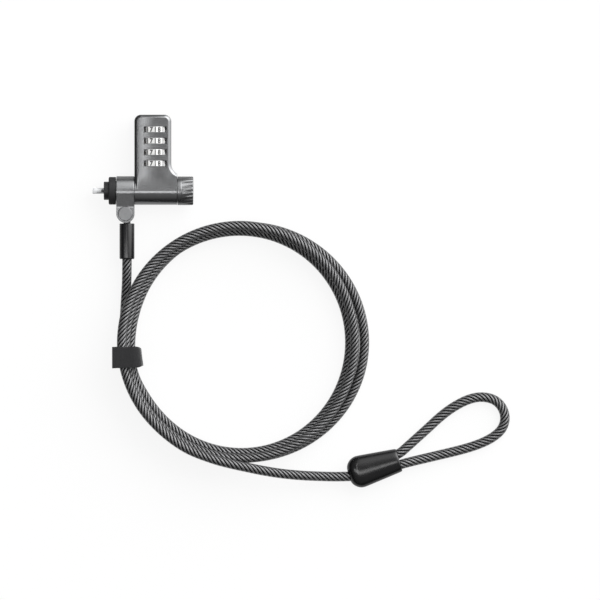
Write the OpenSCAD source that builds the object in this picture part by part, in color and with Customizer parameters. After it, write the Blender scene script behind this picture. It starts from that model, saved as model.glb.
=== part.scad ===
// Laptop cable lock: swivelling combination head on a coiled steel cable.
// The head lies on its flat back. X runs along the barrel from the locking tip to the knob,
// Y runs up the dial case, Z points up through the dials. Origin: middle of the head's base.

/* [Barrel] */
// Outer diameter of the barrel
barrel_d = 13.7; // [13.5:0.1:14.1]
// Right end of the barrel, where the knob starts
barrel_end = 16.8; // [15.5:0.1:18]
// Diameter of the swivel collar
collar_d = 14.3; // [14.1:0.1:14.3]
// Diameter of the turning knob
knob_d = 14; // [13:0.1:14.2]
// Number of flutes on the knob
knob_flutes = 24; // [16:1:26]

/* [Dial case] */
// Width of the dial case
case_w = 17.9; // [17.6:0.1:18.6]
// Thickness of the dial case
case_t = 14; // [13.9:0.1:14.2]
// Radius of the upper corners
case_corner = 3.2; // [2.4:0.1:4]
// Width of the bevel round the front face
case_bevel = 1.2; // [0.6:0.1:1.4]

/* [Dials] */
// Diameter of a dial over its corners
dial_d = 12.8; // [12.4:0.1:12.8]
// Thickness of a dial
dial_t = 2.7; // [2.4:0.1:2.7]
// Distance from one dial to the next
dial_pitch = 5.54; // [5.5:0.01:5.6]

/* [Locking tip] */
// Length of the cross bar, along the security slot
tip_long = 6.5; // [5.5:0.1:6.8]
// Width of the cross bar, across the security slot
tip_wide = 2.9; // [2.4:0.1:2.9]

/* [Cable] */
// Diameter of the jacketed cable
cable_d = 4.7; // [4:0.1:4.7]
// Width of the strap round the coil
strap_w = 10.3; // [8:0.1:12]

/* [Hidden] */
$fn = 64;

// Barrel axis, and the stations along it
axis_y = -10.8;
axis_z = 7.15;
barrel_r = barrel_d / 2;
collar_r = collar_d / 2;
barrel_start = -4;
barrel_bore_r = 6;
chamber_start = -3.2;
collar_start = -12.85;
collar_end = -4.1;
nose_tube_r = 4.8;
nose_tube_start = -13;
spigot_r = 3.2;
spigot_end = -8.5;
shaft_r = 1.5;
run_gap = 0.05;
fit_gap = 0.03;

// Nose, bumper and tip
flange_r = 6.1;
flange_start = -14.1;
flange_end = -13.1;
neck_r = 4.45;
neck_start = -19;
bumper_start = -16.65;
bumper_r = 6.75;
tip_start = -24.45;
tip_head = 2;
guide_r = 0.6;
guide_off = 2.75;

// Knob: a low boss on it turns inside the open end of the barrel
knob_start = barrel_end + 0.2;
knob_boss_start = barrel_end - 0.4;
knob_boss_r = 5.85;
bush_end = barrel_end - 0.5;
knob_end = 24.7;
knob_band = 2.1;
flute_r = 0.9;
flute_depth = 0.6;
flute_lean = 9;
knob_recess_r = 3.2;
knob_recess = 1.2;
shaft_end = 21;
screw_r = 1;

// Case
case_left = -4;
case_right = case_left + case_w;
case_top = 26.3;
case_back = 0;
flare_r = 5.5;
flare_y = 2.4;
wall_left = 0.8;
wall_right = 0.75;
cover_t = 1.2;
front_wall = 1.6;
cavity_bottom = -1.3;
cavity_top = 24.4;
cover_bottom = -6;
cover_gap = 0.08;
boss_r = 1.7;
cover_screw_r = 0.8;
cover_screw_spots = [[-1.3, 22.4], [11, 22.4], [4.8, -3.6]];
cover_screw_len = 4.8;

// Dials: the first one is nearest the top of the case
dial_x = 6.25;
dial_z = 8.6;
dial_first_y = 19.1;
dial_bore_r = 2.8;
window_half = 5.55;
window_t = 2.9;
sleeve_r = 2.75;
sleeve_cap_r = 3.4;
sleeve_cap_t = 0.4;
gate_flange_r = 3.6;
gate_flange_t = 0.4;
gate_flange_off = 2.97;
gate_half = 1;
axle_start = -3.3;
axle_head_r = 2.2;
axle_head_t = 1;

// Cam and locking bar
bar_lift = 1.2;
bar_x = -2.9;
bar_t = 1.8;
cam_r = 2.95;
yoke_r = 5.2;
yoke_gap = 0.3;
bar_z = 7;
bar_w = 3.2;
bar_top = 16.3;
tooth_t = 0.5;
tooth_half = 0.8;
tooth_tip = 2.3;
tooth_off = gate_flange_off + 0.15 + tooth_t;

// Lug, pin and cable terminal
lug_x = (collar_start + collar_end) / 2;
lug_y = -22.1;
lug_r = (collar_end - collar_start) / 2;
lug_half_t = 5.4;
lug_slope = 14;
fork_half = 1.6;
fork_root = -17.2;
pin_r = 1.5;
pin_head_r = 3.45;
pin_head_t = 0.6;
pin_foot_r = 2.2;
eye_half_t = 1.5;
eye_ring_r = 3.6;
stem_x = -7.7;
stem_w = 3.4;
terminal_r = 2.9;
terminal_start = -26.9;
terminal_end = -37;
sleeve_start = -26.8;
sleeve_end = -44.2;
cord_sleeve_r = 3.65;

// Cable route. The coil lies round its own centre and winds anticlockwise from the left side.
// Each row is a turn: its radius on the left, at the front, on the right and at the back.
cable_r = cable_d / 2;
coil_x = 49;
coil_y = -85.3;
coil_from = 180;
coil_steps = 24;
coil_rings = 75;
coil_turns = [
    [59.3, 56.2, 59.4, 57],
    [54.5, 53.6, 52.3, 54.8],
    [57.2, 56.2, 54.6, 57.4],
    [59.1, 56.6]
];
coil_radius = [for (turn = coil_turns) each turn];

// The strap draws the inside run of the second turn outwards
pinch_turn = 193;
pinch = 1.2;
pinch_wide = 14;

// Heights in the coil: a run lies on the table or the strap, or rests on the runs below it
table_z = 2.4;
rest_d = cable_d + 0.65;
strap_rise = 1.2;
strap_rise_wide = 16;

lead_route = [
    [-7.7, -44.2, 7.15], [-7.75, -49, 7.15], [-7.9, -56, 6.3], [-8.4, -64, 4.8], [-8.9, -72, 3.6],
    [-9.6, -79, 3.5]
];
tail_route = [
    [21, -136.3, 16.5], [34.5, -141.8, 16.9], [42, -143.9, 16.4], [49.5, -145.6, 15], [58, -147.4, 12.8],
    [67, -148.9, 10.3], [76.5, -149.9, 8], [86, -150.4, 6.2], [94, -150.6, 5.4], [100, -150.5, 5.3],
    [103.5, -150.4, 5.3], [106.5, -150.3, 5.3]
];
eye_route = [
    [122, -146, 5.3], [127, -144.4, 5.2], [132, -143.1, 4.6], [138, -141.7, 3.7], [144, -140.3, 2.9],
    [150, -138.9, 2.5], [156, -137.4, 2.4], [162, -135.6, 2.4], [167.5, -133.4, 2.4], [172, -130.8, 2.4],
    [175.4, -127.6, 2.4], [177, -124, 2.4], [177, -120, 2.4], [175.5, -116.4, 2.4], [172.6, -113.5, 2.4],
    [168.6, -112, 2.4], [164, -111.8, 2.4], [159.4, -112.9, 2.4], [154.6, -115.1, 2.4],
    [149.5, -118.3, 2.4], [144.5, -122.3, 2.6], [139.5, -126.9, 3.1], [134.5, -131.4, 3.8],
    [129.8, -135.6, 4.6], [125.5, -139.2, 5.2], [120.7, -141.2, 5.3]
];

// Crimped eye: measured from its left tip along its own axis
crimp_tip = [100.3, -149.9, 5.3];
crimp_turn = 16.5;
crimp_len = 26.3;
crimp_big_r = 5.3;
crimp_big_off = 2.9;
crimp_small_r = 4.5;
crimp_small_off = 1.3;
crimp_lip = 0.6;
crimp_taper = 0.3;
ferrule_start = 7;
ferrule_end = 22;
ferrule_r = 3.1;
leg_off = 2.5;
leg_spread = 6;
tail_slant = 14;

// Strap: a band round the bundle, seen along the cable
strap_turn = 187;
strap_in_r = 50.7;
strap_out_r = 62.2;
strap_low = 1.1;
strap_over = 0.25;
strap_t = 1;
strap_round = 2.6;
strap_tab = 64.2;

// ---- helpers ----

module along_x(x) {
    translate([x, axis_y, axis_z])
        rotate([0, 90, 0])
            children();
}

module rod_x(x0, x1, r) {
    along_x(x0)
        cylinder(h = x1 - x0, r = r);
}

module block(from, to) {
    translate(from)
        cube(to - from);
}

module rod_y(x, z, y0, y1, r) {
    translate([x, y1, z])
        rotate([90, 0, 0])
            cylinder(h = y1 - y0, r = r);
}

function dial_y(i) = dial_first_y - dial_pitch * (i - 1);

// Smooth curve through evenly spaced stations
function station(list, t) =
    let (
        n = len(list) - 1,
        i = min(floor(t), n - 1),
        f = t - i,
        b = list[i],
        c = list[i + 1],
        a = i > 0 ? list[i - 1] : 2 * b - c,
        d = i + 2 <= n ? list[i + 2] : 2 * c - b
    )
    (2 * b + (c - a) * f + (2 * a - 5 * b + 4 * c - d) * f * f + (3 * b - a - 3 * c + d) * f * f * f) / 2;

function hump(angle, middle, wide) = exp(-pow((angle - middle) / wide, 2));

// Plan view of the coil, at the height of a run that nothing lifts but the strap under it
function coil_point(k) =
    let (
        turn = k * 360 / coil_steps,
        side = coil_from + turn,
        r = station(coil_radius, k * 4 / coil_steps) + pinch * hump(side, pinch_turn + 360, pinch_wide)
    )
    [coil_x + r * cos(side), coil_y + r * sin(side),
        table_z + strap_rise * hump(coil_from + turn % 360, strap_turn, strap_rise_wide)];

// Place of a point along the line from a to b, seen from above: 0 at a, 1 at b
function foot(p, a, b) =
    let (ab = [b[0] - a[0], b[1] - a[1]], ap = [p[0] - a[0], p[1] - a[1]])
    max(0, min(1, (ap * ab) / (ab * ab)));

// Height at which a run rests on the line from a to b, or 0 where it passes beside that line
function rest_on(p, a, b) =
    let (
        f = foot(p, a, b),
        at = a + f * (b - a),
        off = norm([p[0] - at[0], p[1] - at[1]])
    )
    off < rest_d ? at[2] + sqrt(rest_d * rest_d - off * off) : 0;

// Lays the runs down in order; each point rests on the highest run that it crosses
function laid(done, k) =
    k > coil_rings ? done :
    let (
        p = coil_point(k),
        below = len(done) - coil_steps / 2,
        high = max([p[2], for (j = [0 : below]) rest_on(p, done[j], done[j + 1])])
    )
    laid(concat(done, [[p[0], p[1], high]]), k + 1);

// A stiff cable bridges the dips between its supports
function eased(list, i) =
    i == 0 || i == len(list) - 1 ? list[i] :
    [list[i][0], list[i][1], max(list[i][2], (list[i - 1][2] + list[i + 1][2]) / 2)];

coil_first = len(lead_route);
coil_last = coil_first + coil_rings;
laid_route = laid(lead_route, 0);
route = concat([for (i = [0 : coil_last]) eased(laid_route, i)], tail_route);

// Inside of the strap, over the highest run near it
strap_high = max([for (i = [coil_last - 4 : coil_last]) route[i][2]]) + cable_r + strap_over;

// One ring of a tube, square to the line between its neighbours
function ring(list, i, r, sides) =
    let (
        n = len(list) - 1,
        along = list[min(i + 1, n)] - list[max(i - 1, 0)],
        ahead = along / norm(along),
        across = cross([0, 0, 1], ahead),
        side = across / norm(across),
        up = cross(ahead, side)
    )
    [for (s = [0 : sides - 1]) list[i] + r * (cos(360 * s / sides) * side + sin(360 * s / sides) * up)];

// Tube along list[first] to list[last]; the rings take their direction from the whole list
module tube(list, first, last, r, sides) {
    rings = last - first;
    points = [for (i = [first : last]) each ring(list, i, r, sides)];
    low = [for (i = [0 : rings - 1], s = [0 : sides - 1])
        [i * sides + s, i * sides + (s + 1) % sides, (i + 1) * sides + s]];
    high = [for (i = [0 : rings - 1], s = [0 : sides - 1])
        [i * sides + (s + 1) % sides, (i + 1) * sides + (s + 1) % sides, (i + 1) * sides + s]];
    start_cap = [for (s = [1 : sides - 2]) [0, s + 1, s]];
    end_cap = [for (s = [1 : sides - 2]) [rings * sides, rings * sides + s, rings * sides + s + 1]];
    polyhedron(points = points, faces = concat(low, high, start_cap, end_cap));
}

// Least gap between passes that are about half a turn or more apart, and the cable's length
function beside(p, a, b) =
    let (ab = b - a, f = max(0, min(1, ((p - a) * ab) / (ab * ab))))
    norm(p - a - f * ab);
least_gap = min([for (i = [0 : len(route) - 1], j = [0 : len(route) - 2])
    if (abs(i - j) > coil_steps / 2 - 2) beside(route[i], route[j], route[j + 1])]) - cable_d;
function route_length(list) = [for (i = [1 : len(list) - 1]) norm(list[i] - list[i - 1])]
    * [for (i = [1 : len(list) - 1]) 1];
echo(str("least gap in the coil: ", least_gap, " mm"));
echo(str("cable to the eye: ", route_length(route), " mm, eye: ", route_length(eye_route), " mm"));

// ---- lock head ----

module case_outline() {
    corner_y = case_top - case_corner;
    translate([case_left, axis_y])
        square([case_w, corner_y - axis_y]);
    translate([case_left + case_corner, corner_y - 1])
        square([case_w - 2 * case_corner, case_corner + 1]);
    for (x = [case_left + case_corner, case_right - case_corner])
        translate([x, corner_y])
            circle(r = case_corner);
    difference() {
        translate([case_right - 1, axis_y])
            square([barrel_end - case_right + 1, flare_y - axis_y]);
        translate([case_right + flare_r, flare_y])
            circle(r = flare_r);
    }
}

// Front layer of the case, drawn in by the bevel at its left, upper and right edges
module case_front() {
    corner_y = case_top - case_corner;
    low = case_t - case_bevel;
    for (x = [case_left + case_corner, case_right - case_corner])
        translate([x, corner_y, low])
            cylinder(h = case_bevel, r1 = case_corner, r2 = case_corner - case_bevel);
    translate([0, corner_y, 0])
        rotate([90, 0, 0])
            linear_extrude(height = corner_y - axis_y)
                polygon([
                    [case_left, low], [case_right, low],
                    [case_right - case_bevel, case_t], [case_left + case_bevel, case_t]
                ]);
    translate([case_left + case_corner, 0, 0])
        rotate([90, 0, 90])
            linear_extrude(height = case_w - 2 * case_corner)
                polygon([
                    [corner_y - 1, low], [case_top, low],
                    [case_top - case_bevel, case_t], [corner_y - 1, case_t]
                ]);
    difference() {
        block([case_right - case_bevel - 1, axis_y, low], [barrel_end, flare_y, case_t]);
        translate([case_right + flare_r, flare_y, low])
            cylinder(h = case_bevel, r1 = flare_r, r2 = flare_r + case_bevel);
    }
}

module body_casting() {
    color("dimgray")
    difference() {
        union() {
            linear_extrude(height = case_t - case_bevel)
                case_outline();
            case_front();
            rod_x(barrel_start, barrel_end, barrel_r);
            rod_x(nose_tube_start, barrel_start + 1, nose_tube_r);
        }
        // dial chamber, with a post left for each upper cover screw
        difference() {
            block([case_left + wall_left, cavity_bottom, case_back - 1],
                [case_right - wall_right, cavity_top, case_t - front_wall]);
            for (i = [0, 1])
                translate([cover_screw_spots[i][0], cover_screw_spots[i][1], cover_t])
                    cylinder(h = case_t, r = boss_r);
        }
        // seat of the back cover
        block([case_left + wall_left, cover_bottom, case_back - 1],
            [case_right - wall_right, cavity_top, cover_t]);
        for (spot = cover_screw_spots)
            translate([spot[0], spot[1], 0])
                cylinder(h = cover_screw_len + 0.4, r = cover_screw_r + fit_gap);
        for (i = [1 : 4])
            block([dial_x - window_half, dial_y(i) - window_t / 2, case_t - front_wall - 1],
                [dial_x + window_half, dial_y(i) + window_t / 2, case_t + 1]);
        // dial axle
        rod_y(dial_x, dial_z, axle_start, case_top + 1, shaft_r + fit_gap);
        rod_y(dial_x, dial_z, case_top - axle_head_t - 0.2, case_top + 1, axle_head_r + fit_gap);
        // spindle, nose bush, spindle bush and its pin
        rod_x(nose_tube_start - 1, spigot_end + 0.1, spigot_r + fit_gap);
        rod_x(spigot_end, chamber_start + 1, shaft_r + 0.3);
        rod_x(chamber_start, barrel_end + 1, barrel_bore_r);
        translate([8, axis_y, -1])
            cylinder(h = 4, r = 0.9 + fit_gap);
        // room for the cam yoke and the locking bar
        block([chamber_start, axis_y, 1.2], [bar_x + bar_t + 0.3, -3.8, 12]);
        block([chamber_start, -4, bar_z - 0.3],
            [bar_x + bar_t + 0.3, cavity_bottom + 1, bar_z + bar_w + 0.3]);
    }
}

module back_cover() {
    color("gray")
    difference() {
        block([case_left + wall_left + cover_gap, cover_bottom + cover_gap, case_back],
            [case_right - wall_right - cover_gap, cavity_top - cover_gap, cover_t]);
        for (spot = cover_screw_spots)
            translate([spot[0], spot[1], -0.01]) {
                cylinder(h = 3, r = cover_screw_r + fit_gap);
                cylinder(h = 0.72, r1 = 1.5, r2 = cover_screw_r + fit_gap);
            }
    }
}

module cover_screws() {
    color("black")
    for (spot = cover_screw_spots)
        translate([spot[0], spot[1], 0.05])
            difference() {
                union() {
                    cylinder(h = cover_screw_len, r = cover_screw_r);
                    cylinder(h = 0.6, r1 = 1.36, r2 = cover_screw_r);
                }
                block([-2, -0.2, -1], [2, 0.2, 0.3]);
            }
}

module dial_axle() {
    color("silver")
    difference() {
        union() {
            rod_y(dial_x, dial_z, axle_start + 0.1, case_top - 0.2, shaft_r);
            rod_y(dial_x, dial_z, case_top - axle_head_t - 0.2, case_top - 0.2, axle_head_r);
        }
        block([dial_x - axle_head_r - 1, case_top - 0.7, dial_z - 0.3],
            [dial_x + axle_head_r + 1, case_top, dial_z + 0.3]);
    }
}

module axle_spacer() {
    color("gainsboro")
    difference() {
        rod_y(dial_x, dial_z, dial_y(1) + dial_t / 2 + sleeve_cap_t + 0.2, cavity_top - 0.1, 2.5);
        rod_y(dial_x, dial_z, dial_y(1), case_top, shaft_r + fit_gap);
    }
}

module detent_spring() {
    color("silver") {
        block([4, 0.4, cover_t], [8.3, 20.6, cover_t + 0.4]);
        for (i = [1 : 4])
            rod_y(dial_x, cover_t + 0.4, dial_y(i) - 1, dial_y(i) + 1, 0.35);
    }
}

module nose_bush() {
    color([0.13, 0.13, 0.14])
    difference() {
        union() {
            rod_x(neck_start, flange_start + 0.5, neck_r);
            rod_x(flange_start, flange_end, flange_r);
            rod_x(flange_end - 0.5, spigot_end, spigot_r);
        }
        rod_x(neck_start - 1, spigot_end + 1, shaft_r + run_gap);
        for (side = [-1, 1])
            translate([0, 0, side * guide_off])
                rod_x(neck_start - 1, neck_start + 2.4, guide_r + fit_gap);
    }
}

module guide_pins() {
    color([0.2, 0.2, 0.21])
    for (side = [-1, 1])
        translate([0, 0, side * guide_off])
            rod_x(neck_start - 1.2, neck_start + 2.3, guide_r);
}

module bumper_ring() {
    soft = 0.35;
    wide = flange_end - bumper_start;
    inner = neck_r + run_gap;
    seat = flange_start - bumper_start - run_gap;
    color([0.16, 0.16, 0.17])
    along_x(bumper_start)
        rotate_extrude()
            polygon([
                [inner, 0], [bumper_r - soft, 0], [bumper_r, soft], [bumper_r, wide - soft],
                [bumper_r - soft + 0.2, wide], [flange_r + run_gap, wide],
                [flange_r + run_gap, seat], [inner, seat]
            ]);
}

module spindle_bush() {
    color("darkgray")
    difference() {
        rod_x(bar_x + bar_t + 0.7, bush_end, barrel_bore_r - run_gap);
        rod_x(barrel_start, barrel_end + 1, shaft_r + run_gap);
        translate([8, axis_y, -1])
            cylinder(h = 4.4, r = 0.9 + fit_gap);
    }
}

module bush_pin() {
    color("silver")
    translate([8, axis_y, 0.5])
        cylinder(h = 2.4, r = 0.9);
}

// ---- swivel collar ----

// The lug leaves the collar at a tangent, narrows, and ends in two flat cheeks
module lug() {
    far = axis_y - lug_y + lug_r;
    tangent_at = collar_r * sin(lug_slope);
    tangent_z = collar_r * cos(lug_slope);
    flat_at = (collar_r - lug_half_t * cos(lug_slope)) / sin(lug_slope);
    intersection() {
        translate([collar_start, axis_y, axis_z])
            rotate([90, 0, 90])
                linear_extrude(height = collar_end - collar_start)
                    polygon([
                        [0, tangent_z], [-tangent_at, tangent_z],
                        [-flat_at, lug_half_t], [-far, lug_half_t],
                        [-far, -lug_half_t], [-flat_at, -lug_half_t],
                        [-tangent_at, -tangent_z], [0, -tangent_z]
                    ]);
        linear_extrude(height = 2 * axis_z) {
            translate([lug_x, lug_y])
                circle(r = lug_r);
            translate([lug_x - lug_r, lug_y])
                square([2 * lug_r, axis_y - lug_y]);
        }
    }
}

module swivel_collar() {
    chamfer = 0.4;
    color("gray")
    difference() {
        union() {
            rod_x(collar_start + chamfer, collar_end - chamfer, collar_r);
            along_x(collar_start)
                cylinder(h = chamfer, r1 = collar_r - chamfer, r2 = collar_r);
            along_x(collar_end - chamfer)
                cylinder(h = chamfer, r1 = collar_r, r2 = collar_r - chamfer);
            lug();
        }
        rod_x(collar_start - 1, collar_end + 1, nose_tube_r + run_gap);
        block([collar_start - 1, lug_y - lug_r - 1, axis_z - fork_half],
            [collar_end + 1, fork_root, axis_z + fork_half]);
        translate([lug_x, lug_y, 0]) {
            cylinder(h = 20, r = pin_r + fit_gap);
            translate([0, 0, axis_z + lug_half_t - pin_head_t])
                cylinder(h = 5, r = pin_head_r + fit_gap);
            cylinder(h = axis_z - lug_half_t + 0.7, r = pin_foot_r + fit_gap);
        }
    }
}

module lug_pin() {
    top = axis_z + lug_half_t;
    color("lightgray")
    translate([lug_x, lug_y, 0]) {
        translate([0, 0, axis_z - lug_half_t + 0.1])
            cylinder(h = 2 * lug_half_t - 0.2, r = pin_r);
        translate([0, 0, top - pin_head_t])
            cylinder(h = pin_head_t + 0.1, r = pin_head_r);
        translate([0, 0, axis_z - lug_half_t + 0.1])
            cylinder(h = 0.6, r = pin_foot_r);
    }
}

// ---- spindle and knob ----

module lock_spindle() {
    color("silver")
    difference() {
        union() {
            rod_x(tip_start + tip_head - 0.1, shaft_end, shaft_r - 0.1);
            rod_x(neck_start + 0.1, shaft_end, shaft_r);
            intersection() {
                rod_x(tip_start, tip_start + tip_head, tip_long / 2);
                block([tip_start - 1, axis_y - tip_wide / 2, 0],
                    [tip_start + tip_head + 1, axis_y + tip_wide / 2, 20]);
            }
        }
        rod_x(shaft_end - 4.5, shaft_end + 1, screw_r + fit_gap);
    }
}

// Eccentric disc; at rest its high side points down, and a quarter turn lifts the locking bar
module lock_cam() {
    color("goldenrod")
    difference() {
        translate([0, 0, -bar_lift])
            rod_x(bar_x, bar_x + bar_t, cam_r);
        rod_x(bar_x - 1, bar_x + bar_t + 1, shaft_r + fit_gap);
    }
}

module knob() {
    color("gray")
    difference() {
        union() {
            rod_x(knob_start, knob_end, knob_d / 2);
            rod_x(knob_boss_start, knob_start + 1, knob_boss_r);
        }
        rod_x(knob_boss_start - 1, shaft_end + 0.1, shaft_r + fit_gap);
        rod_x(shaft_end, knob_end, screw_r + 0.1);
        rod_x(knob_end - knob_recess, knob_end + 1, knob_recess_r);
        for (i = [0 : knob_flutes - 1])
            translate([0, axis_y, axis_z])
                rotate([i * 360 / knob_flutes, 0, 0])
                    translate([knob_start + knob_band, 0, knob_d / 2 + flute_r])
                        rotate([0, 90 + atan(flute_depth / (knob_end - knob_start - knob_band)), 0])
                            rotate([flute_lean, 0, 0])
                                cylinder(h = 9, r = flute_r, $fn = 24);
    }
}

module knob_screw() {
    head = 0.9;
    color("silver")
    difference() {
        union() {
            rod_x(shaft_end - 4.2, knob_end - knob_recess + 0.1, screw_r);
            rod_x(knob_end - knob_recess, knob_end - knob_recess + head, 2.4);
        }
        block([knob_end - knob_recess + 0.4, axis_y - 3, axis_z - 0.3],
            [knob_end + 1, axis_y + 3, axis_z + 0.3]);
    }
}

module locking_bar() {
    reach = cam_r + yoke_gap;
    color("darkgoldenrod") {
        difference() {
            translate([0, 0, -bar_lift / 2])
                rod_x(bar_x, bar_x + bar_t, yoke_r);
            intersection() {
                block([bar_x - 1, axis_y - reach, axis_z - reach - bar_lift],
                    [bar_x + bar_t + 1, axis_y + reach, axis_z + reach]);
                translate([0, 0, -bar_lift / 2])
                    rod_x(bar_x - 1, bar_x + bar_t + 1, yoke_r - 0.8);
            }
        }
        block([bar_x, axis_y + yoke_r - 0.9, bar_z], [bar_x + bar_t, bar_top, bar_z + bar_w]);
        for (i = [1 : 4])
            block([bar_x + bar_t - 0.5, dial_y(i) - tooth_off, dial_z - tooth_half],
                [tooth_tip, dial_y(i) - tooth_off + tooth_t, dial_z + tooth_half]);
    }
}

// ---- dials ----

module dial(i) {
    color("white")
    difference() {
        translate([dial_x, dial_y(i) + dial_t / 2, dial_z])
            rotate([90, 0, 0])
                rotate(18)
                    cylinder(h = dial_t, r = dial_d / 2, $fn = 10);
        rod_y(dial_x, dial_z, dial_y(i) - dial_t, dial_y(i) + dial_t, dial_bore_r);
    }
}

module dial_sleeve(i) {
    y = dial_y(i);
    color("silver")
    difference() {
        union() {
            rod_y(dial_x, dial_z, y - gate_flange_off, y + dial_t / 2 + sleeve_cap_t, sleeve_r);
            rod_y(dial_x, dial_z, y + dial_t / 2, y + dial_t / 2 + sleeve_cap_t, sleeve_cap_r);
            rod_y(dial_x, dial_z, y - gate_flange_off, y - gate_flange_off + gate_flange_t, gate_flange_r);
        }
        rod_y(dial_x, dial_z, y - 5, y + 5, shaft_r + run_gap);
        block([dial_x - gate_flange_r - 1, y - gate_flange_off - 1, dial_z - gate_half],
            [dial_x - sleeve_r - 0.05, y - gate_flange_off + gate_flange_t + 0.01, dial_z + gate_half]);
    }
}

module dial_1() { dial(1); }
module dial_2() { dial(2); }
module dial_3() { dial(3); }
module dial_4() { dial(4); }
module dial_sleeve_1() { dial_sleeve(1); }
module dial_sleeve_2() { dial_sleeve(2); }
module dial_sleeve_3() { dial_sleeve(3); }
module dial_sleeve_4() { dial_sleeve(4); }

// ---- cable ----

module cable_eyelet() {
    color("silver")
    difference() {
        union() {
            translate([lug_x, lug_y, axis_z - eye_half_t])
                cylinder(h = 2 * eye_half_t, r = eye_ring_r);
            block([stem_x - stem_w / 2, terminal_start - 0.5, axis_z - eye_half_t],
                [stem_x + stem_w / 2, lug_y, axis_z + eye_half_t]);
            rod_y(stem_x, axis_z, terminal_end, terminal_start, terminal_r);
        }
        translate([lug_x, lug_y, 0])
            cylinder(h = 20, r = pin_r + run_gap);
    }
}

module cable_sleeve() {
    soft = 0.35;
    long = sleeve_start - sleeve_end;
    color([0.15, 0.15, 0.16])
    difference() {
        translate([stem_x, sleeve_start, axis_z])
            rotate([90, 0, 0])
                rotate_extrude()
                    polygon([
                        [0, 0], [cord_sleeve_r - soft, 0], [cord_sleeve_r, soft],
                        [cord_sleeve_r, long - soft], [cord_sleeve_r - soft, long], [0, long]
                    ]);
        rod_y(stem_x, axis_z, terminal_end - 0.05, sleeve_start + 1, terminal_r + fit_gap);
    }
}

module cable_lead() {
    color([0.35, 0.35, 0.36])
    tube(route, 0, coil_first, cable_r, 8);
}

module cable_coil() {
    color([0.4, 0.4, 0.41])
    tube(route, coil_first, coil_last, cable_r, 6);
}

module cable_tail() {
    color([0.45, 0.45, 0.46])
    tube(route, coil_last, len(route) - 1, cable_r, 8);
}

module cable_eye() {
    color([0.38, 0.38, 0.39])
    tube(eye_route, 0, len(eye_route) - 1, cable_r, 8);
}

module at_crimp() {
    translate(crimp_tip)
        rotate([0, 0, crimp_turn])
            children();
}

module ferrule_solid(from, to, r) {
    for (side = [-1, 1])
        translate([from, side * leg_off, 0])
            rotate([0, 90, 0])
                cylinder(h = to - from, r = r);
    block([from, -leg_off, -r], [to, leg_off, r]);
}

module eye_ferrule() {
    color("silver")
    at_crimp()
        ferrule_solid(ferrule_start, ferrule_end, ferrule_r);
}

module crimp_cover() {
    color([0.1, 0.1, 0.11])
    at_crimp()
        difference() {
            hull() {
                for (side = [-1, 1]) {
                    translate([crimp_big_r, side * crimp_big_off, 0])
                        sphere(r = crimp_big_r, $fn = 32);
                    translate([crimp_len - crimp_lip, side * crimp_small_off, 0])
                        rotate([0, 90, 0])
                            cylinder(h = crimp_lip, r1 = crimp_small_r,
                                r2 = crimp_small_r - crimp_taper, $fn = 32);
                }
            }
            ferrule_solid(ferrule_start, ferrule_end, ferrule_r + fit_gap);
            for (side = [-1, 1])
                translate([ferrule_end - 1, side * leg_off, 0])
                    rotate([0, 90, max(0, side) * leg_spread])
                        cylinder(h = 9, r = cable_r);
            translate([ferrule_start + 1, -leg_off, 0])
                rotate([0, -90, -tail_slant])
                    cylinder(h = 12, r = cable_r);
        }
}

module strap_profile(low_r, high_r, low_z, high_z, round) {
    hull()
        for (r = [low_r + round, high_r - round], z = [low_z + round, high_z - round])
            translate([r, z])
                circle(r = round, $fn = 32);
}

module cable_strap() {
    color([0.2, 0.2, 0.21])
    translate([coil_x, coil_y, 0])
        rotate([0, 0, strap_turn])
            translate([0, strap_w / 2, 0])
                rotate([90, 0, 0])
                    linear_extrude(height = strap_w)
                        union() {
                            difference() {
                                strap_profile(strap_in_r - strap_t, strap_out_r + strap_t,
                                    strap_low - strap_t, strap_high + strap_t, strap_round + strap_t);
                                strap_profile(strap_in_r, strap_out_r, strap_low, strap_high, strap_round);
                            }
                            translate([strap_out_r - 4, strap_high])
                                square([strap_tab - strap_out_r + 4, strap_t]);
                        }
}

body_casting();
back_cover();
cover_screws();
dial_axle();
axle_spacer();
detent_spring();
nose_bush();
guide_pins();
bumper_ring();
spindle_bush();
bush_pin();
swivel_collar();
lug_pin();
lock_spindle();
lock_cam();
knob();
knob_screw();
locking_bar();
dial_1();
dial_2();
dial_3();
dial_4();
dial_sleeve_1();
dial_sleeve_2();
dial_sleeve_3();
dial_sleeve_4();
cable_eyelet();
cable_sleeve();
cable_lead();
cable_coil();
cable_tail();
cable_eye();
eye_ferrule();
crimp_cover();
cable_strap();
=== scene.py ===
"""Laptop cable lock: finished pieces, materials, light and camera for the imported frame.

The head lies on its back with its dials up. Lengths in the code are millimetres until a mesh is
made from them; the settings in the sidebar are in metres.
"""

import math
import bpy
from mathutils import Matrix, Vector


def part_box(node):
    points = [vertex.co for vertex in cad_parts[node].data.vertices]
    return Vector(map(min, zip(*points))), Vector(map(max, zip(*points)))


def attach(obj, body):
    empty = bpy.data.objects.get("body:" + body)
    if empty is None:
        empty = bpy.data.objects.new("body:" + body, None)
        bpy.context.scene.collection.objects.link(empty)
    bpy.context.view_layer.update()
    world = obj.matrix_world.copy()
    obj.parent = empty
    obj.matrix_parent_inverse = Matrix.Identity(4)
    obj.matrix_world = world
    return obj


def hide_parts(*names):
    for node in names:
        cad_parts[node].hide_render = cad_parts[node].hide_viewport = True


bl_info = {
    "name": "Laptop Cable Lock",
    "version": (1, 0, 0),
    "blender": (4, 5, 0),
    "location": "View3D > Sidebar > Cable Lock",
    "description": "Builds the finished pieces of a laptop cable lock over its packed frame",
    "category": "Object",
}

import bmesh
import bpy
from bpy.props import FloatProperty, FloatVectorProperty, IntProperty, PointerProperty
from mathutils import Matrix, Vector

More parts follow.
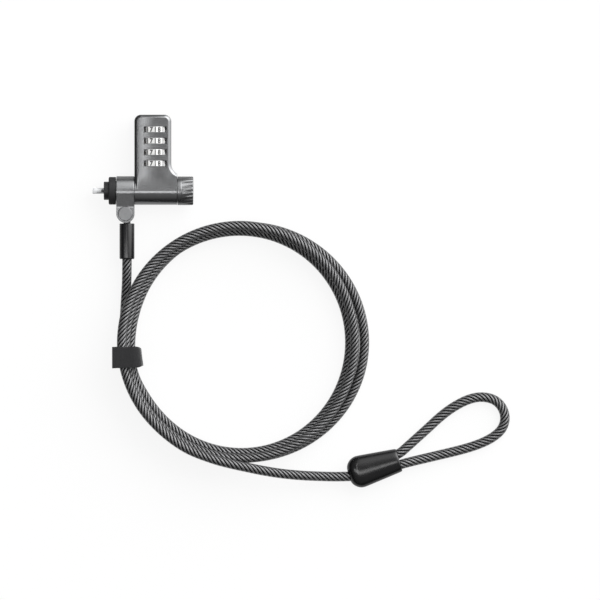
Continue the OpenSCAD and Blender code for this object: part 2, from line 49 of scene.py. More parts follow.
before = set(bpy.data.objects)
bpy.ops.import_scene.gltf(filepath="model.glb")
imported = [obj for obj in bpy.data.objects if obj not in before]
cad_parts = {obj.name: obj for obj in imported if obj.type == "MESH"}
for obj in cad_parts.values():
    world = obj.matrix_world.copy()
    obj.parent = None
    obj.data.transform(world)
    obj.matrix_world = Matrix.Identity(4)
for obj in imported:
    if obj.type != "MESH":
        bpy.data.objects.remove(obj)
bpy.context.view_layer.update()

MM = 0.001
# The barrel: its axis, its radius and its outer end
AXIS = Vector((0.0, -10.8, 7.15))
BARREL_R = 6.85
BARREL_END = 16.8
# Front view of the dial case, and the height of its face
CASE_LEFT, CASE_RIGHT, CASE_TOP = -4.0, 13.9, 26.3
CASE_FACE = 14.0
# The dials turn about a line along Y. They have ten sides, and this radius at their corners
DIAL_X = 6.25
DIAL_Z = 8.6
DIAL_Y = [19.1 - 5.54 * i for i in range(4)]
DIAL_R = 6.4
DIAL_SIDES = 10
# Half the length of the window over a dial
WINDOW_HALF = 5.55
# The swivel collar, and the middle of the pin in its lug
COLLAR_LEFT, COLLAR_RIGHT, COLLAR_R = -12.85, -4.1, 7.15
LUG = Vector((-8.475, -22.1, 7.15))
LUG_HALF = 5.4
# Middle line of the boot, along Y
BOOT = (-7.7, 0.0, 7.15)

COIL_CENTRE = Vector((49.0, -85.3, 0.0))
COIL_STEPS = 24
COIL_RINGS = 75
# Each row is a turn of the coil: its radius on the left, at the front, on the right and at the back
COIL_TURNS = [(59.3, 56.2, 59.4, 57), (54.5, 53.6, 52.3, 54.8), (57.2, 56.2, 54.6, 57.4), (59.1, 56.6)]
# The strap draws the inside run of the second turn outwards: middle (degrees into the coil), width, amount
PINCH = (373, 14, 1.2)
# Height of a run on the table, how far the strap under it lifts it, and over what width
TABLE_Z = 2.4
STRAP_RISE = (7, 16, 1.2)
# Distance between the centre lines of two runs that rest on each other
REST = 5.35
# The cable from the boot to the coil, from the coil to the crimp, and round the eye and back
LEAD = [(-7.7, -40, 7.15), (-7.7, -44.2, 7.15), (-7.75, -49, 7.15), (-7.9, -56, 6.3), (-8.4, -64, 4.8),
        (-8.9, -72, 3.6), (-9.6, -79, 3.5)]
TAIL = [(21, -136.3, 16.5), (34.5, -141.8, 16.9), (42, -143.9, 16.4), (49.5, -145.6, 15), (58, -147.4, 12.8),
        (67, -148.9, 10.3), (76.5, -149.9, 8), (86, -150.4, 6.2), (94, -150.6, 5.4), (100, -150.5, 5.3),
        (106.5, -150.2, 5.3), (114.4, -148.3, 5.3)]
EYE = [(122, -146, 5.3), (127, -144.4, 5.2), (132, -143.1, 4.6), (138, -141.7, 3.7), (144, -140.3, 2.9),
       (150, -138.9, 2.5), (156, -137.4, 2.4), (162, -135.6, 2.4), (167.5, -133.4, 2.4), (172, -130.8, 2.4),
       (175.4, -127.6, 2.4), (177, -124, 2.4), (177, -120, 2.4), (175.5, -116.4, 2.4), (172.6, -113.5, 2.4),
       (168.6, -112, 2.4), (164, -111.8, 2.4), (159.4, -112.9, 2.4), (154.6, -115.1, 2.4),
       (149.5, -118.3, 2.4), (144.5, -122.3, 2.6), (139.5, -126.9, 3.1), (134.5, -131.4, 3.8),
       (129.8, -135.6, 4.6), (125.5, -139.2, 5.2), (120.7, -141.2, 5.3), (112.4, -143.7, 5.3)]
# Round end of the crimp cover, and how the cover and the strap are turned about an upright line
CRIMP_TIP = Vector((100.3, -149.9, 5.3))
CRIMP_TURN = math.radians(16.5)
STRAP_TURN = math.radians(187)
# Inside of the strap over the bundle. Its solid is one millimetre thick
STRAP_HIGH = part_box("cable_strap")[1].z / MM - 1.0


# ---- settings ----


class HeadSettings(bpy.types.PropertyGroup):
    paint: FloatVectorProperty(name="Metal paint", description="Colour of the cast body, collar and knob",
                               subtype="COLOR", default=(0.252, 0.255, 0.26), min=0, max=1)
    rubber: FloatVectorProperty(name="Rubber", description="Colour of the ring behind the tip",
                                subtype="COLOR", default=(0.014, 0.014, 0.015), min=0, max=1)
    dial: FloatVectorProperty(name="Dials", description="Colour of the number dials",
                              subtype="COLOR", default=(0.93, 0.93, 0.92), min=0, max=1)
    digit_height: FloatProperty(name="Digit height", description="Height of the numbers on the dials",
                                default=0.0022, min=0.001, max=0.0025, unit="LENGTH", precision=4)
    edge: FloatProperty(name="Edge rounding", description="Rounding of the cast edges",
                        default=0.00014, min=0.00002, max=0.0004, unit="LENGTH", precision=5)
    flutes: IntProperty(name="Knob flutes", description="Number of flutes round the knob",
                        default=24, min=12, max=36)
    flute_depth: FloatProperty(name="Flute depth", description="Depth of a flute at the knob's outer end",
                               default=0.00036, min=0.0, max=0.001, unit="LENGTH", precision=5)
    flute_lean: FloatProperty(name="Flute lean", description="How far a flute turns along the knob",
                              default=math.radians(6), min=0, max=1, subtype="ANGLE")


class CableSettings(bpy.types.PropertyGroup):
    diameter: FloatProperty(name="Cable", description="Diameter over the jacket", default=0.0047,
                            min=0.004, max=0.0047, unit="LENGTH", precision=4)
    strand: FloatProperty(name="Strand", description="Diameter of one steel strand", default=0.00128,
                          min=0.0006, max=0.0013, unit="LENGTH", precision=5)
    strands: IntProperty(name="Strands", description="Outer strands of the steel rope",
                         default=6, min=3, max=8)
    lay_radius: FloatProperty(name="Lay radius", description="Distance of a strand from the rope's middle",
                              default=0.00156, min=0.0008, max=0.0018, unit="LENGTH", precision=5)
    lay: FloatProperty(name="Lay length", description="Length in which a strand goes once round",
                       default=0.0137, min=0.006, max=0.03, unit="LENGTH", precision=4)
    jacket: FloatVectorProperty(name="Jacket", description="Tint of the clear jacket", subtype="COLOR",
                                default=(0.01, 0.01, 0.011), min=0, max=1)
    jacket_cover: FloatProperty(name="Jacket cover", description="How much of the steel the jacket hides",
                                default=0.1, min=0, max=1, subtype="FACTOR")
    steel: FloatVectorProperty(name="Steel", description="Colour of the steel strands", subtype="COLOR",
                               default=(0.27, 0.27, 0.275), min=0, max=1)
    strap: FloatVectorProperty(name="Strap", description="Colour of the strap", subtype="COLOR",
                               default=(0.018, 0.018, 0.019), min=0, max=1)
    strap_width: FloatProperty(name="Strap width", description="Width of the strap along the cable",
                               default=0.0103, min=0.006, max=0.014, unit="LENGTH", precision=4)


class StageSettings(bpy.types.PropertyGroup):
    floor: FloatVectorProperty(name="Floor", description="Colour of the floor", subtype="COLOR",
                               default=(0.9, 0.9, 0.9), min=0, max=1)
    sky: FloatProperty(name="Dome", description="Brightness of the dome overhead", default=0.22, min=0, max=3)
    glow: FloatProperty(name="Side glow", description="Brightness of the bright side of the dome",
                        default=3.1, min=0, max=5)
    strip: FloatProperty(name="Strip lamp", description="Power of the long lamp", default=1.75, min=0, max=50)
    face: FloatProperty(name="Face lamp", description="Power of the narrow lamp over the dials",
                        default=0.72, min=0, max=50)
    key: FloatProperty(name="Soft lamp", description="Power of the soft lamp", default=7.0, min=0, max=100)
    distance: FloatProperty(name="Camera distance", description="Height of the camera over the lock",
                            default=5.0, min=0.3, max=9, unit="LENGTH")


# ---- mesh helpers ----


def clamp(value):
    return max(0.0, min(1.0, value))


def arc(x, y, radius, start, sweep, steps):
    """Points along an arc round (x, y), with both its ends."""
    angles = [start + sweep * k / steps for k in range(steps + 1)]
    return [(x + radius * math.cos(a), y + radius * math.sin(a)) for a in angles]


def soften(points, radii, steps=4):
    """A closed outline with its corners rounded, each by its own radius."""
    out = []
    for i, r in enumerate(radii):
        before, corner, after = [Vector(points[(i + k) % len(points)]) for k in (-1, 0, 1)]
        if r <= 0:
            out.append(corner)
            continue
        # A corner takes a little less than half of each side, so that two never meet
        to_before = before - corner
        to_after = after - corner
        a = corner + to_before.normalized() * min(r, to_before.length * 0.48)
        b = corner + to_after.normalized() * min(r, to_after.length * 0.48)
        for s in range(steps + 1):
            f = s / steps
            out.append((1 - f) ** 2 * a + 2 * f * (1 - f) * corner + f * f * b)
    return out


def skin(rings, wrap=False):
    """Joins rings of equally many points into a closed shell, back to the first ring or with caps."""
    bm = bmesh.new()
    rows = [[bm.verts.new(p) for p in ring] for ring in rings]
    count = len(rows[0])
    pairs = list(zip(rows, rows[1:]))
    if wrap:
        pairs.append((rows[-1], rows[0]))
    for low, high in pairs:
        for i in range(count):
            j = (i + 1) % count
            bm.faces.new((low[i], low[j], high[j], high[i]))
    if not wrap:
        bm.faces.new(rows[0])
        bm.faces.new(rows[-1])
    bmesh.ops.remove_doubles(bm, verts=bm.verts, dist=1e-5)
    bmesh.ops.dissolve_degenerate(bm, edges=bm.edges, dist=1e-6)
    bmesh.ops.recalc_face_normals(bm, faces=bm.faces)
    return bm


def revolve(profile, steps=96, centre=AXIS, axis=0):
    """Revolves a closed outline of (place along the axis, radius). Axis 0, 1 or 2 is X, Y or Z."""
    across, up = [i for i in range(3) if i != axis]
    rings = []
    for along, r in profile:
        ring = []
        for k in range(steps):
            a = 2 * math.pi * k / steps
            spot = list(centre)
            spot[axis] = along
            spot[across] += r * math.cos(a)
            spot[up] += r * math.sin(a)
            ring.append(spot)
        rings.append(ring)
    return skin(rings, wrap=True)


def block(low, high):
    """A box between two corners."""
    bm = bmesh.new()
    bmesh.ops.create_cube(bm, size=1)
    for v in bm.verts:
        for i in range(3):
            v.co[i] = low[i] if v.co[i] < 0 else high[i]
    return bm


def rod(start, end, r, steps=64):
    """A plain cylinder between two points."""
    start = Vector(start)
    end = Vector(end)
    bm = bmesh.new()
    bmesh.ops.create_cone(bm, cap_ends=True, segments=steps, radius1=r, radius2=r,
                          depth=(end - start).length)
    turn = (end - start).to_track_quat("Z", "Y").to_matrix().to_4x4()
    bmesh.ops.transform(bm, matrix=Matrix.Translation((start + end) / 2) @ turn, verts=bm.verts)
    return bm


def rod_x(start, end, r, steps=64, rise=0.0):
    """A cylinder along the barrel's axis, or above it by the rise."""
    return rod((start, AXIS.y, AXIS.z + rise), (end, AXIS.y, AXIS.z + rise), r, steps)


def rod_z(x, y, start, end, r, steps=64):
    """An upright cylinder."""
    return rod((x, y, start), (x, y, end), r, steps)


def add_object(name, data):
    """Puts a mesh, curve, text, lamp or camera in the scene."""
    made = bpy.data.objects.new(name, data)
    bpy.context.scene.collection.objects.link(made)
    return made


def finish_shading(mesh, sharp):
    mesh.shade_smooth()
    mesh.set_sharp_from_angle(angle=math.radians(sharp))


def make(name, bm, coat=None, sharp=32):
    """An object from a mesh in millimetres, smooth but for edges sharper than the given angle."""
    bmesh.ops.scale(bm, vec=(MM, MM, MM), verts=bm.verts)
    mesh = bpy.data.meshes.new(name)
    bm.to_mesh(mesh)
    bm.free()
    finish_shading(mesh, sharp)
    if coat:
        mesh.materials.append(coat)
    return add_object(name, mesh)


def shown_mesh(piece):
    """A mesh of what the piece shows, with its modifiers, curves or letters worked out."""
    bpy.context.view_layer.update()
    shown = piece.evaluated_get(bpy.context.evaluated_depsgraph_get())
    return bpy.data.meshes.new_from_object(shown)


def apply_modifiers(piece, sharp=None):
    """Turns what the modifiers show into the piece's own mesh."""
    mesh = shown_mesh(piece)
    piece.modifiers.clear()
    piece.data = mesh
    if sharp is not None:
        finish_shading(mesh, sharp)


def carve(piece, tools, operation="DIFFERENCE"):
    """Cuts each tool out of the piece, joins it on or keeps what is in it, and deletes the tool."""
    held = []
    for tool in tools:
        other = make("tool", tool)
        change = piece.modifiers.new("Carve", "BOOLEAN")
        change.operation = operation
        change.solver = "EXACT"
        change.object = other
        held.append(other)
    apply_modifiers(piece)
    for other in held:
        bpy.data.objects.remove(other)


def round_edges(piece, width, segments=2):
    """A small rounding on the sharp edges, with even shading on the flats."""
    edge = piece.modifiers.new("Edge", "BEVEL")
    edge.width = width
    edge.segments = segments
    edge.limit_method = "ANGLE"
    edge.angle_limit = math.radians(35)
    edge.use_clamp_overlap = True
    apply_modifiers(piece, sharp=50)
    level = piece.modifiers.new("Even Shading", "WEIGHTED_NORMAL")
    level.keep_sharp = True
    apply_modifiers(piece)


def place(piece, body, slot, *nodes):
    """The piece rides on a body and stands for CAD nodes. Its slot is not used."""
    if not piece.data.polygons:
        raise RuntimeError("%s has no surface" % piece.name)
    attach(piece, body)
    if nodes:
        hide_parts(*nodes)


# ---- cable route ----


def station(values, t):
    """Smooth curve through evenly spaced stations."""
    last = len(values) - 1
    i = min(int(t), last - 1)
    f = t - i
    b, c = values[i], values[i + 1]
    a = values[i - 1] if i > 0 else 2 * b - c
    d = values[i + 2] if i + 2 <= last else 2 * c - b
    return (2 * b + (c - a) * f + (2 * a - 5 * b + 4 * c - d) * f * f + (3 * b - a - 3 * c + d) * f ** 3) / 2


def smooth_path(points, step):
    """A centripetal curve through the points, as points about one step apart."""
    points = [Vector(p) for p in points]
    out = []
    for i in range(len(points) - 1):
        p1, p2 = points[i], points[i + 1]
        p0 = points[i - 1] if i > 0 else 2 * p1 - p2
        p3 = points[i + 2] if i + 2 < len(points) else 2 * p2 - p1
        t0 = 0.0
        t1 = t0 + (p1 - p0).length ** 0.5
        t2 = t1 + (p2 - p1).length ** 0.5
        t3 = t2 + (p3 - p2).length ** 0.5
        count = max(2, round((p2 - p1).length / step))
        for k in range(count):
            t = t1 + (t2 - t1) * k / count
            a1 = p0 * ((t1 - t) / (t1 - t0)) + p1 * ((t - t0) / (t1 - t0))
            a2 = p1 * ((t2 - t) / (t2 - t1)) + p2 * ((t - t1) / (t2 - t1))
            a3 = p2 * ((t3 - t) / (t3 - t2)) + p3 * ((t - t2) / (t3 - t2))
            b1 = a1 * ((t2 - t) / (t2 - t0)) + a2 * ((t - t0) / (t2 - t0))
            b2 = a2 * ((t3 - t) / (t3 - t1)) + a3 * ((t - t1) / (t3 - t1))
            out.append(b1 * ((t2 - t) / (t2 - t1)) + b2 * ((t - t1) / (t2 - t1)))
    out.append(points[-1])
    return out


def cable_path():
    """The whole cable: lead, coil, tail, through the crimp, round the eye and back."""
    laid = [Vector(p) for p in LEAD]
    for k in range(COIL_RINGS + 1):
        spot = coil_point(k)
        below = laid[:max(0, len(laid) - COIL_STEPS // 2 + 2)]
        spot.z = max([spot.z] + [rest_on(spot, a, b) for a, b in zip(below, below[1:])])
        laid.append(spot)
    eased = [p.copy() for p in laid]
    for before, here, after, out in zip(laid, laid[1:], laid[2:], eased[1:]):
        out.z = max(here.z, (before.z + after.z) / 2)
    return smooth_path(eased + TAIL + EYE, 1.2)


def hump(angle, middle, wide):
    """A smooth rise that is 1 in the middle."""
    return math.exp(-((angle - middle) / wide) ** 2)


def coil_point(k):
    """A point of the coil, at the height of a run that nothing lifts but the strap under it."""
    turn = 360 * k / COIL_STEPS
    radii = [r for row in COIL_TURNS for r in row]
    r = station(radii, 4 * k / COIL_STEPS) + PINCH[2] * hump(turn, PINCH[0], PINCH[1])
    side = math.radians(180 + turn)
    high = TABLE_Z + STRAP_RISE[2] * hump(turn % 360, STRAP_RISE[0], STRAP_RISE[1])
    return COIL_CENTRE + Vector((r * math.cos(side), r * math.sin(side), high))


def rest_on(p, a, b):
    """Height at which a run rests on the line from a to b, or 0 where it passes beside it."""
    ab = (b - a).to_2d()
    foot = clamp((p - a).to_2d().dot(ab) / ab.length_squared)
    at = a + (b - a) * foot
    off = (p - at).to_2d().length
    return at.z + math.sqrt(REST * REST - off * off) if off < REST else 0.0


# ---- node trees ----


def feed(tree, socket, value):
    """Sets a socket to a value, or joins it to another node's output."""
    if isinstance(value, bpy.types.NodeSocket):
        tree.links.new(value, socket)
    else:
        socket.default_value = value


def add_node(tree, kind, inputs=None, **settings):
    """Adds a node with its settings, and feeds its inputs by name or number."""
    made = tree.nodes.new(kind)
    for key, value in settings.items():
        setattr(made, key, value)
    for key, value in (inputs or {}).items():
        feed(tree, made.inputs[key], value)
    return made


def math_node(tree, operation, *values):
    """The result of a sum on one or two numbers or outputs."""
    return add_node(tree, "ShaderNodeMath", dict(enumerate(values)), operation=operation).outputs[0]


def vector_node(tree, operation, vector, other):
    """The same for vectors. To scale one, the other is a number."""
    second = "Scale" if operation == "SCALE" else 1
    made = add_node(tree, "ShaderNodeVectorMath", {0: vector, second: other}, operation=operation)
    return made.outputs["Value" if operation in ("DISTANCE", "DOT_PRODUCT") else "Vector"]


def new_tree(name, kind, inputs, outputs):
    """A node group with the named sockets. Gives the group and what its input node puts out."""
    tree = bpy.data.node_groups.new(name, kind)
    for label, socket, *value in inputs:
        made = tree.interface.new_socket(label, in_out="INPUT", socket_type="NodeSocket" + socket)
        if value:
            made.default_value = value[0]
    for label, socket in outputs:
        tree.interface.new_socket(label, in_out="OUTPUT", socket_type="NodeSocket" + socket)
    return tree, add_node(tree, "NodeGroupInput").outputs


def end_shape(tree, geometry, coat):
    """Ends a geometry tree: a real mesh in its material."""
    real = add_node(tree, "GeometryNodeRealizeInstances", {"Geometry": geometry})
    paint = add_node(tree, "GeometryNodeSetMaterial", {"Geometry": real.outputs[0], "Material": coat})
    add_node(tree, "NodeGroupOutput", {"Geometry": paint.outputs[0]})


def use_tree(piece, tree, **values):
    """Runs a tree on the piece. The names of the inputs have underscores for spaces."""
    change = piece.modifiers.new(tree.name, "NODES")
    change.node_group = tree
    for item in tree.interface.items_tree:
        key = item.name.replace(" ", "_")
        if item.item_type == "SOCKET" and item.in_out == "INPUT" and key in values:
            change[item.identifier] = values[key]


def store_node(tree, geometry, name, kind, value):
    """Keeps a value on the points under the given name."""
    made = add_node(tree, "GeometryNodeStoreNamedAttribute",
                    {"Geometry": geometry, "Name": name, "Value": value}, data_type=kind, domain="POINT")
    return made.outputs["Geometry"]


def rope_tree():
    """Strands laid round a path. With one strand and no lay radius it is a plain tube.

    The mesh keeps how far each point lies from the path, in millimetres, as its depth."""
    tree, given = new_tree("Laid Rope", "GeometryNodeTree", [
        ("Geometry", "Geometry"), ("Strands", "Int", 6), ("Strand Diameter", "Float", 0.001),
        ("Lay Radius", "Float", 0.001), ("Lay Length", "Float", 0.012), ("Step", "Float", 0.001),
        ("Sides", "Int", 6), ("Material", "Material")], [("Geometry", "Geometry")])
    resample = add_node(tree, "GeometryNodeResampleCurve",
                        {"Curve": given["Geometry"], "Length": given["Step"]}, mode="LENGTH")
    upright = add_node(tree, "GeometryNodeSetCurveNormal", {"Curve": resample.outputs[0]}, mode="Z_UP")
    copies = add_node(tree, "GeometryNodeDuplicateElements",
                      {"Geometry": upright.outputs[0], "Amount": given["Strands"]}, domain="SPLINE").outputs
    position = add_node(tree, "GeometryNodeInputPosition").outputs[0]
    normal = add_node(tree, "GeometryNodeInputNormal").outputs[0]
    tangent = add_node(tree, "GeometryNodeInputTangent").outputs[0]
    along = add_node(tree, "GeometryNodeSplineParameter").outputs["Length"]
    turns = math_node(tree, "DIVIDE", along, given["Lay Length"])
    share = math_node(tree, "DIVIDE", copies["Duplicate Index"], given["Strands"])
    angle = math_node(tree, "MULTIPLY", math_node(tree, "ADD", turns, share), 2 * math.pi)
    parts = []
    for operation, direction in (("COSINE", normal),
                                 ("SINE", vector_node(tree, "CROSS_PRODUCT", tangent, normal))):
        amount = math_node(tree, "MULTIPLY", math_node(tree, operation, angle), given["Lay Radius"])
        parts.append(vector_node(tree, "SCALE", direction, amount))
    middle = store_node(tree, copies["Geometry"], "middle", "FLOAT_VECTOR", position)
    move = add_node(tree, "GeometryNodeSetPosition",
                    {"Geometry": middle, "Offset": vector_node(tree, "ADD", *parts)})
    radius = math_node(tree, "MULTIPLY", given["Strand Diameter"], 0.5)
    ring = add_node(tree, "GeometryNodeCurvePrimitiveCircle",
                    {"Resolution": given["Sides"], "Radius": radius}, mode="RADIUS")
    sweep = add_node(tree, "GeometryNodeCurveToMesh", {
        "Curve": move.outputs[0], "Profile Curve": ring.outputs["Curve"], "Fill Caps": True})
    read = add_node(tree, "GeometryNodeInputNamedAttribute", {"Name": "middle"}, data_type="FLOAT_VECTOR")
    away = vector_node(tree, "DISTANCE", position, read.outputs["Attribute"])
    depth = store_node(tree, sweep.outputs[0], "depth", "FLOAT", math_node(tree, "DIVIDE", away, MM))
    end_shape(tree, depth, given["Material"])
    return tree


def flute_tree():
    """Presses leaning flutes into a turned knob, deepest at its outer end."""
    tree, given = new_tree("Knob Flutes", "GeometryNodeTree", [
        ("Geometry", "Geometry"), ("Flutes", "Int", 24), ("Depth", "Float", 0.0007), ("Lean", "Float", 0.2),
        ("Start", "Float", 0.0193), ("End", "Float", 0.0246), ("Axis", "Vector", (0.0, 0.0, 0.0)),
        ("Material", "Material")], [("Geometry", "Geometry")])

    def calc(operation, *values):
        return math_node(tree, operation, *values)

    where = add_node(tree, "GeometryNodeInputPosition").outputs[0]
    local = vector_node(tree, "SUBTRACT", where, given["Axis"])
    x, y, z = add_node(tree, "ShaderNodeSeparateXYZ", {0: local}).outputs
    radius = calc("SQRT", calc("ADD", calc("MULTIPLY", y, y), calc("MULTIPLY", z, z)))
    span = calc("SUBTRACT", given["End"], given["Start"])
    share = calc("DIVIDE", calc("SUBTRACT", x, given["Start"]), span)
    share = calc("MINIMUM", calc("MAXIMUM", share, 0.0), 1.0)
    lean = calc("MULTIPLY", share, given["Lean"])
    turn = calc("DIVIDE", calc("ADD", calc("ARCTAN2", z, y), lean), 2 * math.pi)
    # The hundred only keeps the sum above zero
    phase = calc("FRACT", calc("ADD", calc("MULTIPLY", turn, given["Flutes"]), 100.0))
    centred = calc("SUBTRACT", calc("MULTIPLY", phase, 2.0), 1.0)
    bowl = calc("SUBTRACT", 1.0, calc("MULTIPLY", centred, centred))
    depth = calc("MULTIPLY", bowl, calc("MULTIPLY", calc("POWER", share, 0.8), given["Depth"]))
    # Only the outside of the knob is pressed in
    depth = calc("MULTIPLY", depth, calc("GREATER_THAN", radius, 0.0058))
    inward = add_node(tree, "ShaderNodeCombineXYZ", {
        1: calc("DIVIDE", y, radius), 2: calc("DIVIDE", z, radius)})
    pressed = vector_node(tree, "SCALE", inward.outputs[0], calc("MULTIPLY", depth, -1.0))
    move = add_node(tree, "GeometryNodeSetPosition", {"Geometry": given["Geometry"], "Offset": pressed})
    end_shape(tree, move.outputs[0], given["Material"])
    return tree


# ---- shader groups and materials ----


def grain_group(name):
    """Cast or moulded grain: a cloudy mask, and the fine height under it."""
    group, given = new_tree(name, "ShaderNodeTree", [
        ("Vector", "Vector"), ("Cloud Scale", "Float", 120.0), ("Grain Scale", "Float", 4000.0)],
        [("Mask", "Float"), ("Height", "Float")])
    cloud, grain = [add_node(group, "ShaderNodeTexNoise", {
        "Vector": given["Vector"], "Scale": given[key], "Detail": detail}).outputs[0]
        for key, detail in (("Cloud Scale", 3), ("Grain Scale", 2))]
    mask = math_node(group, "ADD", math_node(group, "MULTIPLY", cloud, 0.7),
                     math_node(group, "MULTIPLY", grain, 0.3))
    add_node(group, "NodeGroupOutput", {"Mask": mask, "Height": grain})
    return group


def handling_group(name):
    """Roughness that wanders between two values, as on a piece that is often held."""
    group, given = new_tree(name, "ShaderNodeTree", [
        ("Vector", "Vector"), ("Scale", "Float", 200.0), ("Low", "Float", 0.3), ("High", "Float", 0.4)],
        [("Roughness", "Float")])
    noise = add_node(group, "ShaderNodeTexNoise",
                     {"Vector": given["Vector"], "Scale": given["Scale"], "Detail": 4})
    ramp = add_node(group, "ShaderNodeMapRange", {
        "Value": noise.outputs[0], "From Min": 0.3, "From Max": 0.7, "To Min": given["Low"],
        "To Max": given["High"]})
    add_node(group, "NodeGroupOutput", {"Roughness": ramp.outputs[0]})
    return group


def pile_group(name):
    """Hook-and-loop cloth: rows of loops with loose fibre over them, on a map in millimetres."""
    group, given = new_tree(name, "ShaderNodeTree", [("Vector", "Vector"), ("Rows", "Float", 2.2)],
                            [("Mask", "Float"), ("Height", "Float")])
    scaled = vector_node(group, "SCALE", given["Vector"], given["Rows"])
    cells = add_node(group, "ShaderNodeTexVoronoi", {"Vector": scaled, "Scale": 1.6, "Randomness": 0.6})
    fibre = add_node(group, "ShaderNodeTexNoise", {
        "Vector": scaled, "Scale": 2.4, "Detail": 6, "Roughness": 0.75}).outputs[0]
    loops = math_node(group, "MULTIPLY", math_node(group, "SUBTRACT", 1.0, cells.outputs["Distance"]), 0.5)
    add_node(group, "NodeGroupOutput", {"Mask": fibre, "Height": math_node(group, "ADD", loops, fibre)})
    return group


GROUPS = {}


def group_node(tree, name, **values):
    """Places a shared group, made on first use, and gives its outputs."""
    if name not in GROUPS:
        GROUPS[name] = {"Cast Grain": grain_group, "Handling Marks": handling_group,
                        "Loop Pile": pile_group}[name](name)
    inputs = {key.replace("_", " "): value for key, value in values.items()}
    return add_node(tree, "ShaderNodeGroup", inputs, node_tree=GROUPS[name]).outputs


def map_range(tree, value, low, high, to_low=0.0, to_high=1.0):
    """Turns one range of values into another, eased at both ends."""
    return add_node(tree, "ShaderNodeMapRange", {
        "Value": value, "From Min": low, "From Max": high, "To Min": to_low, "To Max": to_high},
        interpolation_type="SMOOTHSTEP").outputs[0]


def mix_node(tree, factor, dark, light):
    """Blends two colours, each written as three numbers or taken from another node."""
    made = add_node(tree, "ShaderNodeMix", {"Factor": factor}, data_type="RGBA")
    for key, colour in (("A", dark), ("B", light)):
        feed(tree, made.inputs[key], (*colour, 1) if isinstance(colour, tuple) else colour)
    return made.outputs["Result"]


def bump_node(tree, height, strength, distance):
    return add_node(tree, "ShaderNodeBump", {
        "Height": height, "Strength": strength, "Distance": distance * MM}).outputs[0]


def shade(colour, factor):
    return tuple(min(1.0, c * factor) for c in colour)


def new_material(name, **sockets):
    """A material with plain values on its shader. Gives the material, its tree and the shader."""
    made = bpy.data.materials.new(name)
    made.use_nodes = True
    shader = made.node_tree.nodes["Principled BSDF"]
    for key, value in sockets.items():
        shader.inputs[key.replace("_", " ")].default_value = value
    return made, made.node_tree, shader


def finish(name, light, dark, rough, metallic=0.0, cloud=150.0, grain=3000.0, bump=0.0, bump_size=0.02,
           **sockets):
    """A material whose colour and roughness wander, with a fine grain."""
    made, tree, shader = new_material(name, Metallic=metallic, **sockets)
    spot = add_node(tree, "ShaderNodeTexCoord").outputs["Object"]
    texture = group_node(tree, "Cast Grain", Vector=spot, Cloud_Scale=cloud, Grain_Scale=grain)
    marks = group_node(tree, "Handling Marks", Vector=spot, Scale=220.0, Low=rough[0], High=rough[1])
    feed(tree, shader.inputs["Base Color"], mix_node(tree, texture["Mask"], dark, light))
    feed(tree, shader.inputs["Roughness"], marks["Roughness"])
    if bump:
        feed(tree, shader.inputs["Normal"], bump_node(tree, texture["Height"], bump, bump_size))
    return made


def rope_finish(name, colour):
    """Steel strands with painted shade: black down in the valleys between them, bright steel outside."""
    made = finish(name, colour, shade(colour, 0.85), (0.42, 0.5), 0.55, cloud=400)
    tree = made.node_tree
    base = tree.nodes["Principled BSDF"].inputs["Base Color"]
    depth = add_node(tree, "ShaderNodeAttribute", attribute_name="depth").outputs["Fac"]
    # Between these two distances from the rope's middle the black painted shade gives way to the steel
    painted_shade_to_steel = map_range(tree, depth, 1.92, 2.17)
    feed(tree, base, mix_node(tree, painted_shade_to_steel, (0.004, 0.004, 0.004), base.links[0].from_socket))
    return made


def jacket_finish(name, colour, cover):
    """Smoky clear jacket: thin where it is looked straight through, dark at its rims."""
    made = finish(name, colour, shade(colour, 0.6), (0.2, 0.28), cloud=60, Specular_IOR_Level=0.3)
    tree = made.node_tree
    rim = add_node(tree, "ShaderNodeLayerWeight", {"Blend": 0.5}).outputs["Facing"]
    feed(tree, tree.nodes["Principled BSDF"].inputs["Alpha"], map_range(tree, rim, 0.4, 0.86, cover, 0.95))
    return made


def cloth_finish(name, colour):
    """Hook-and-loop cloth on the piece's own map."""
    made, tree, shader = new_material(name, Roughness=0.92, Sheen_Weight=0.35, Sheen_Roughness=0.5,
                                      Specular_IOR_Level=0.2)
    chart = add_node(tree, "ShaderNodeUVMap", uv_map="Cloth").outputs[0]
    pile = group_node(tree, "Loop Pile", Vector=chart, Rows=2.2)
    feed(tree, shader.inputs["Base Color"],
         mix_node(tree, pile["Mask"], shade(colour, 0.55), shade(colour, 1.7)))
    feed(tree, shader.inputs["Normal"], bump_node(tree, pile["Height"], 0.7, 0.25))
    return made


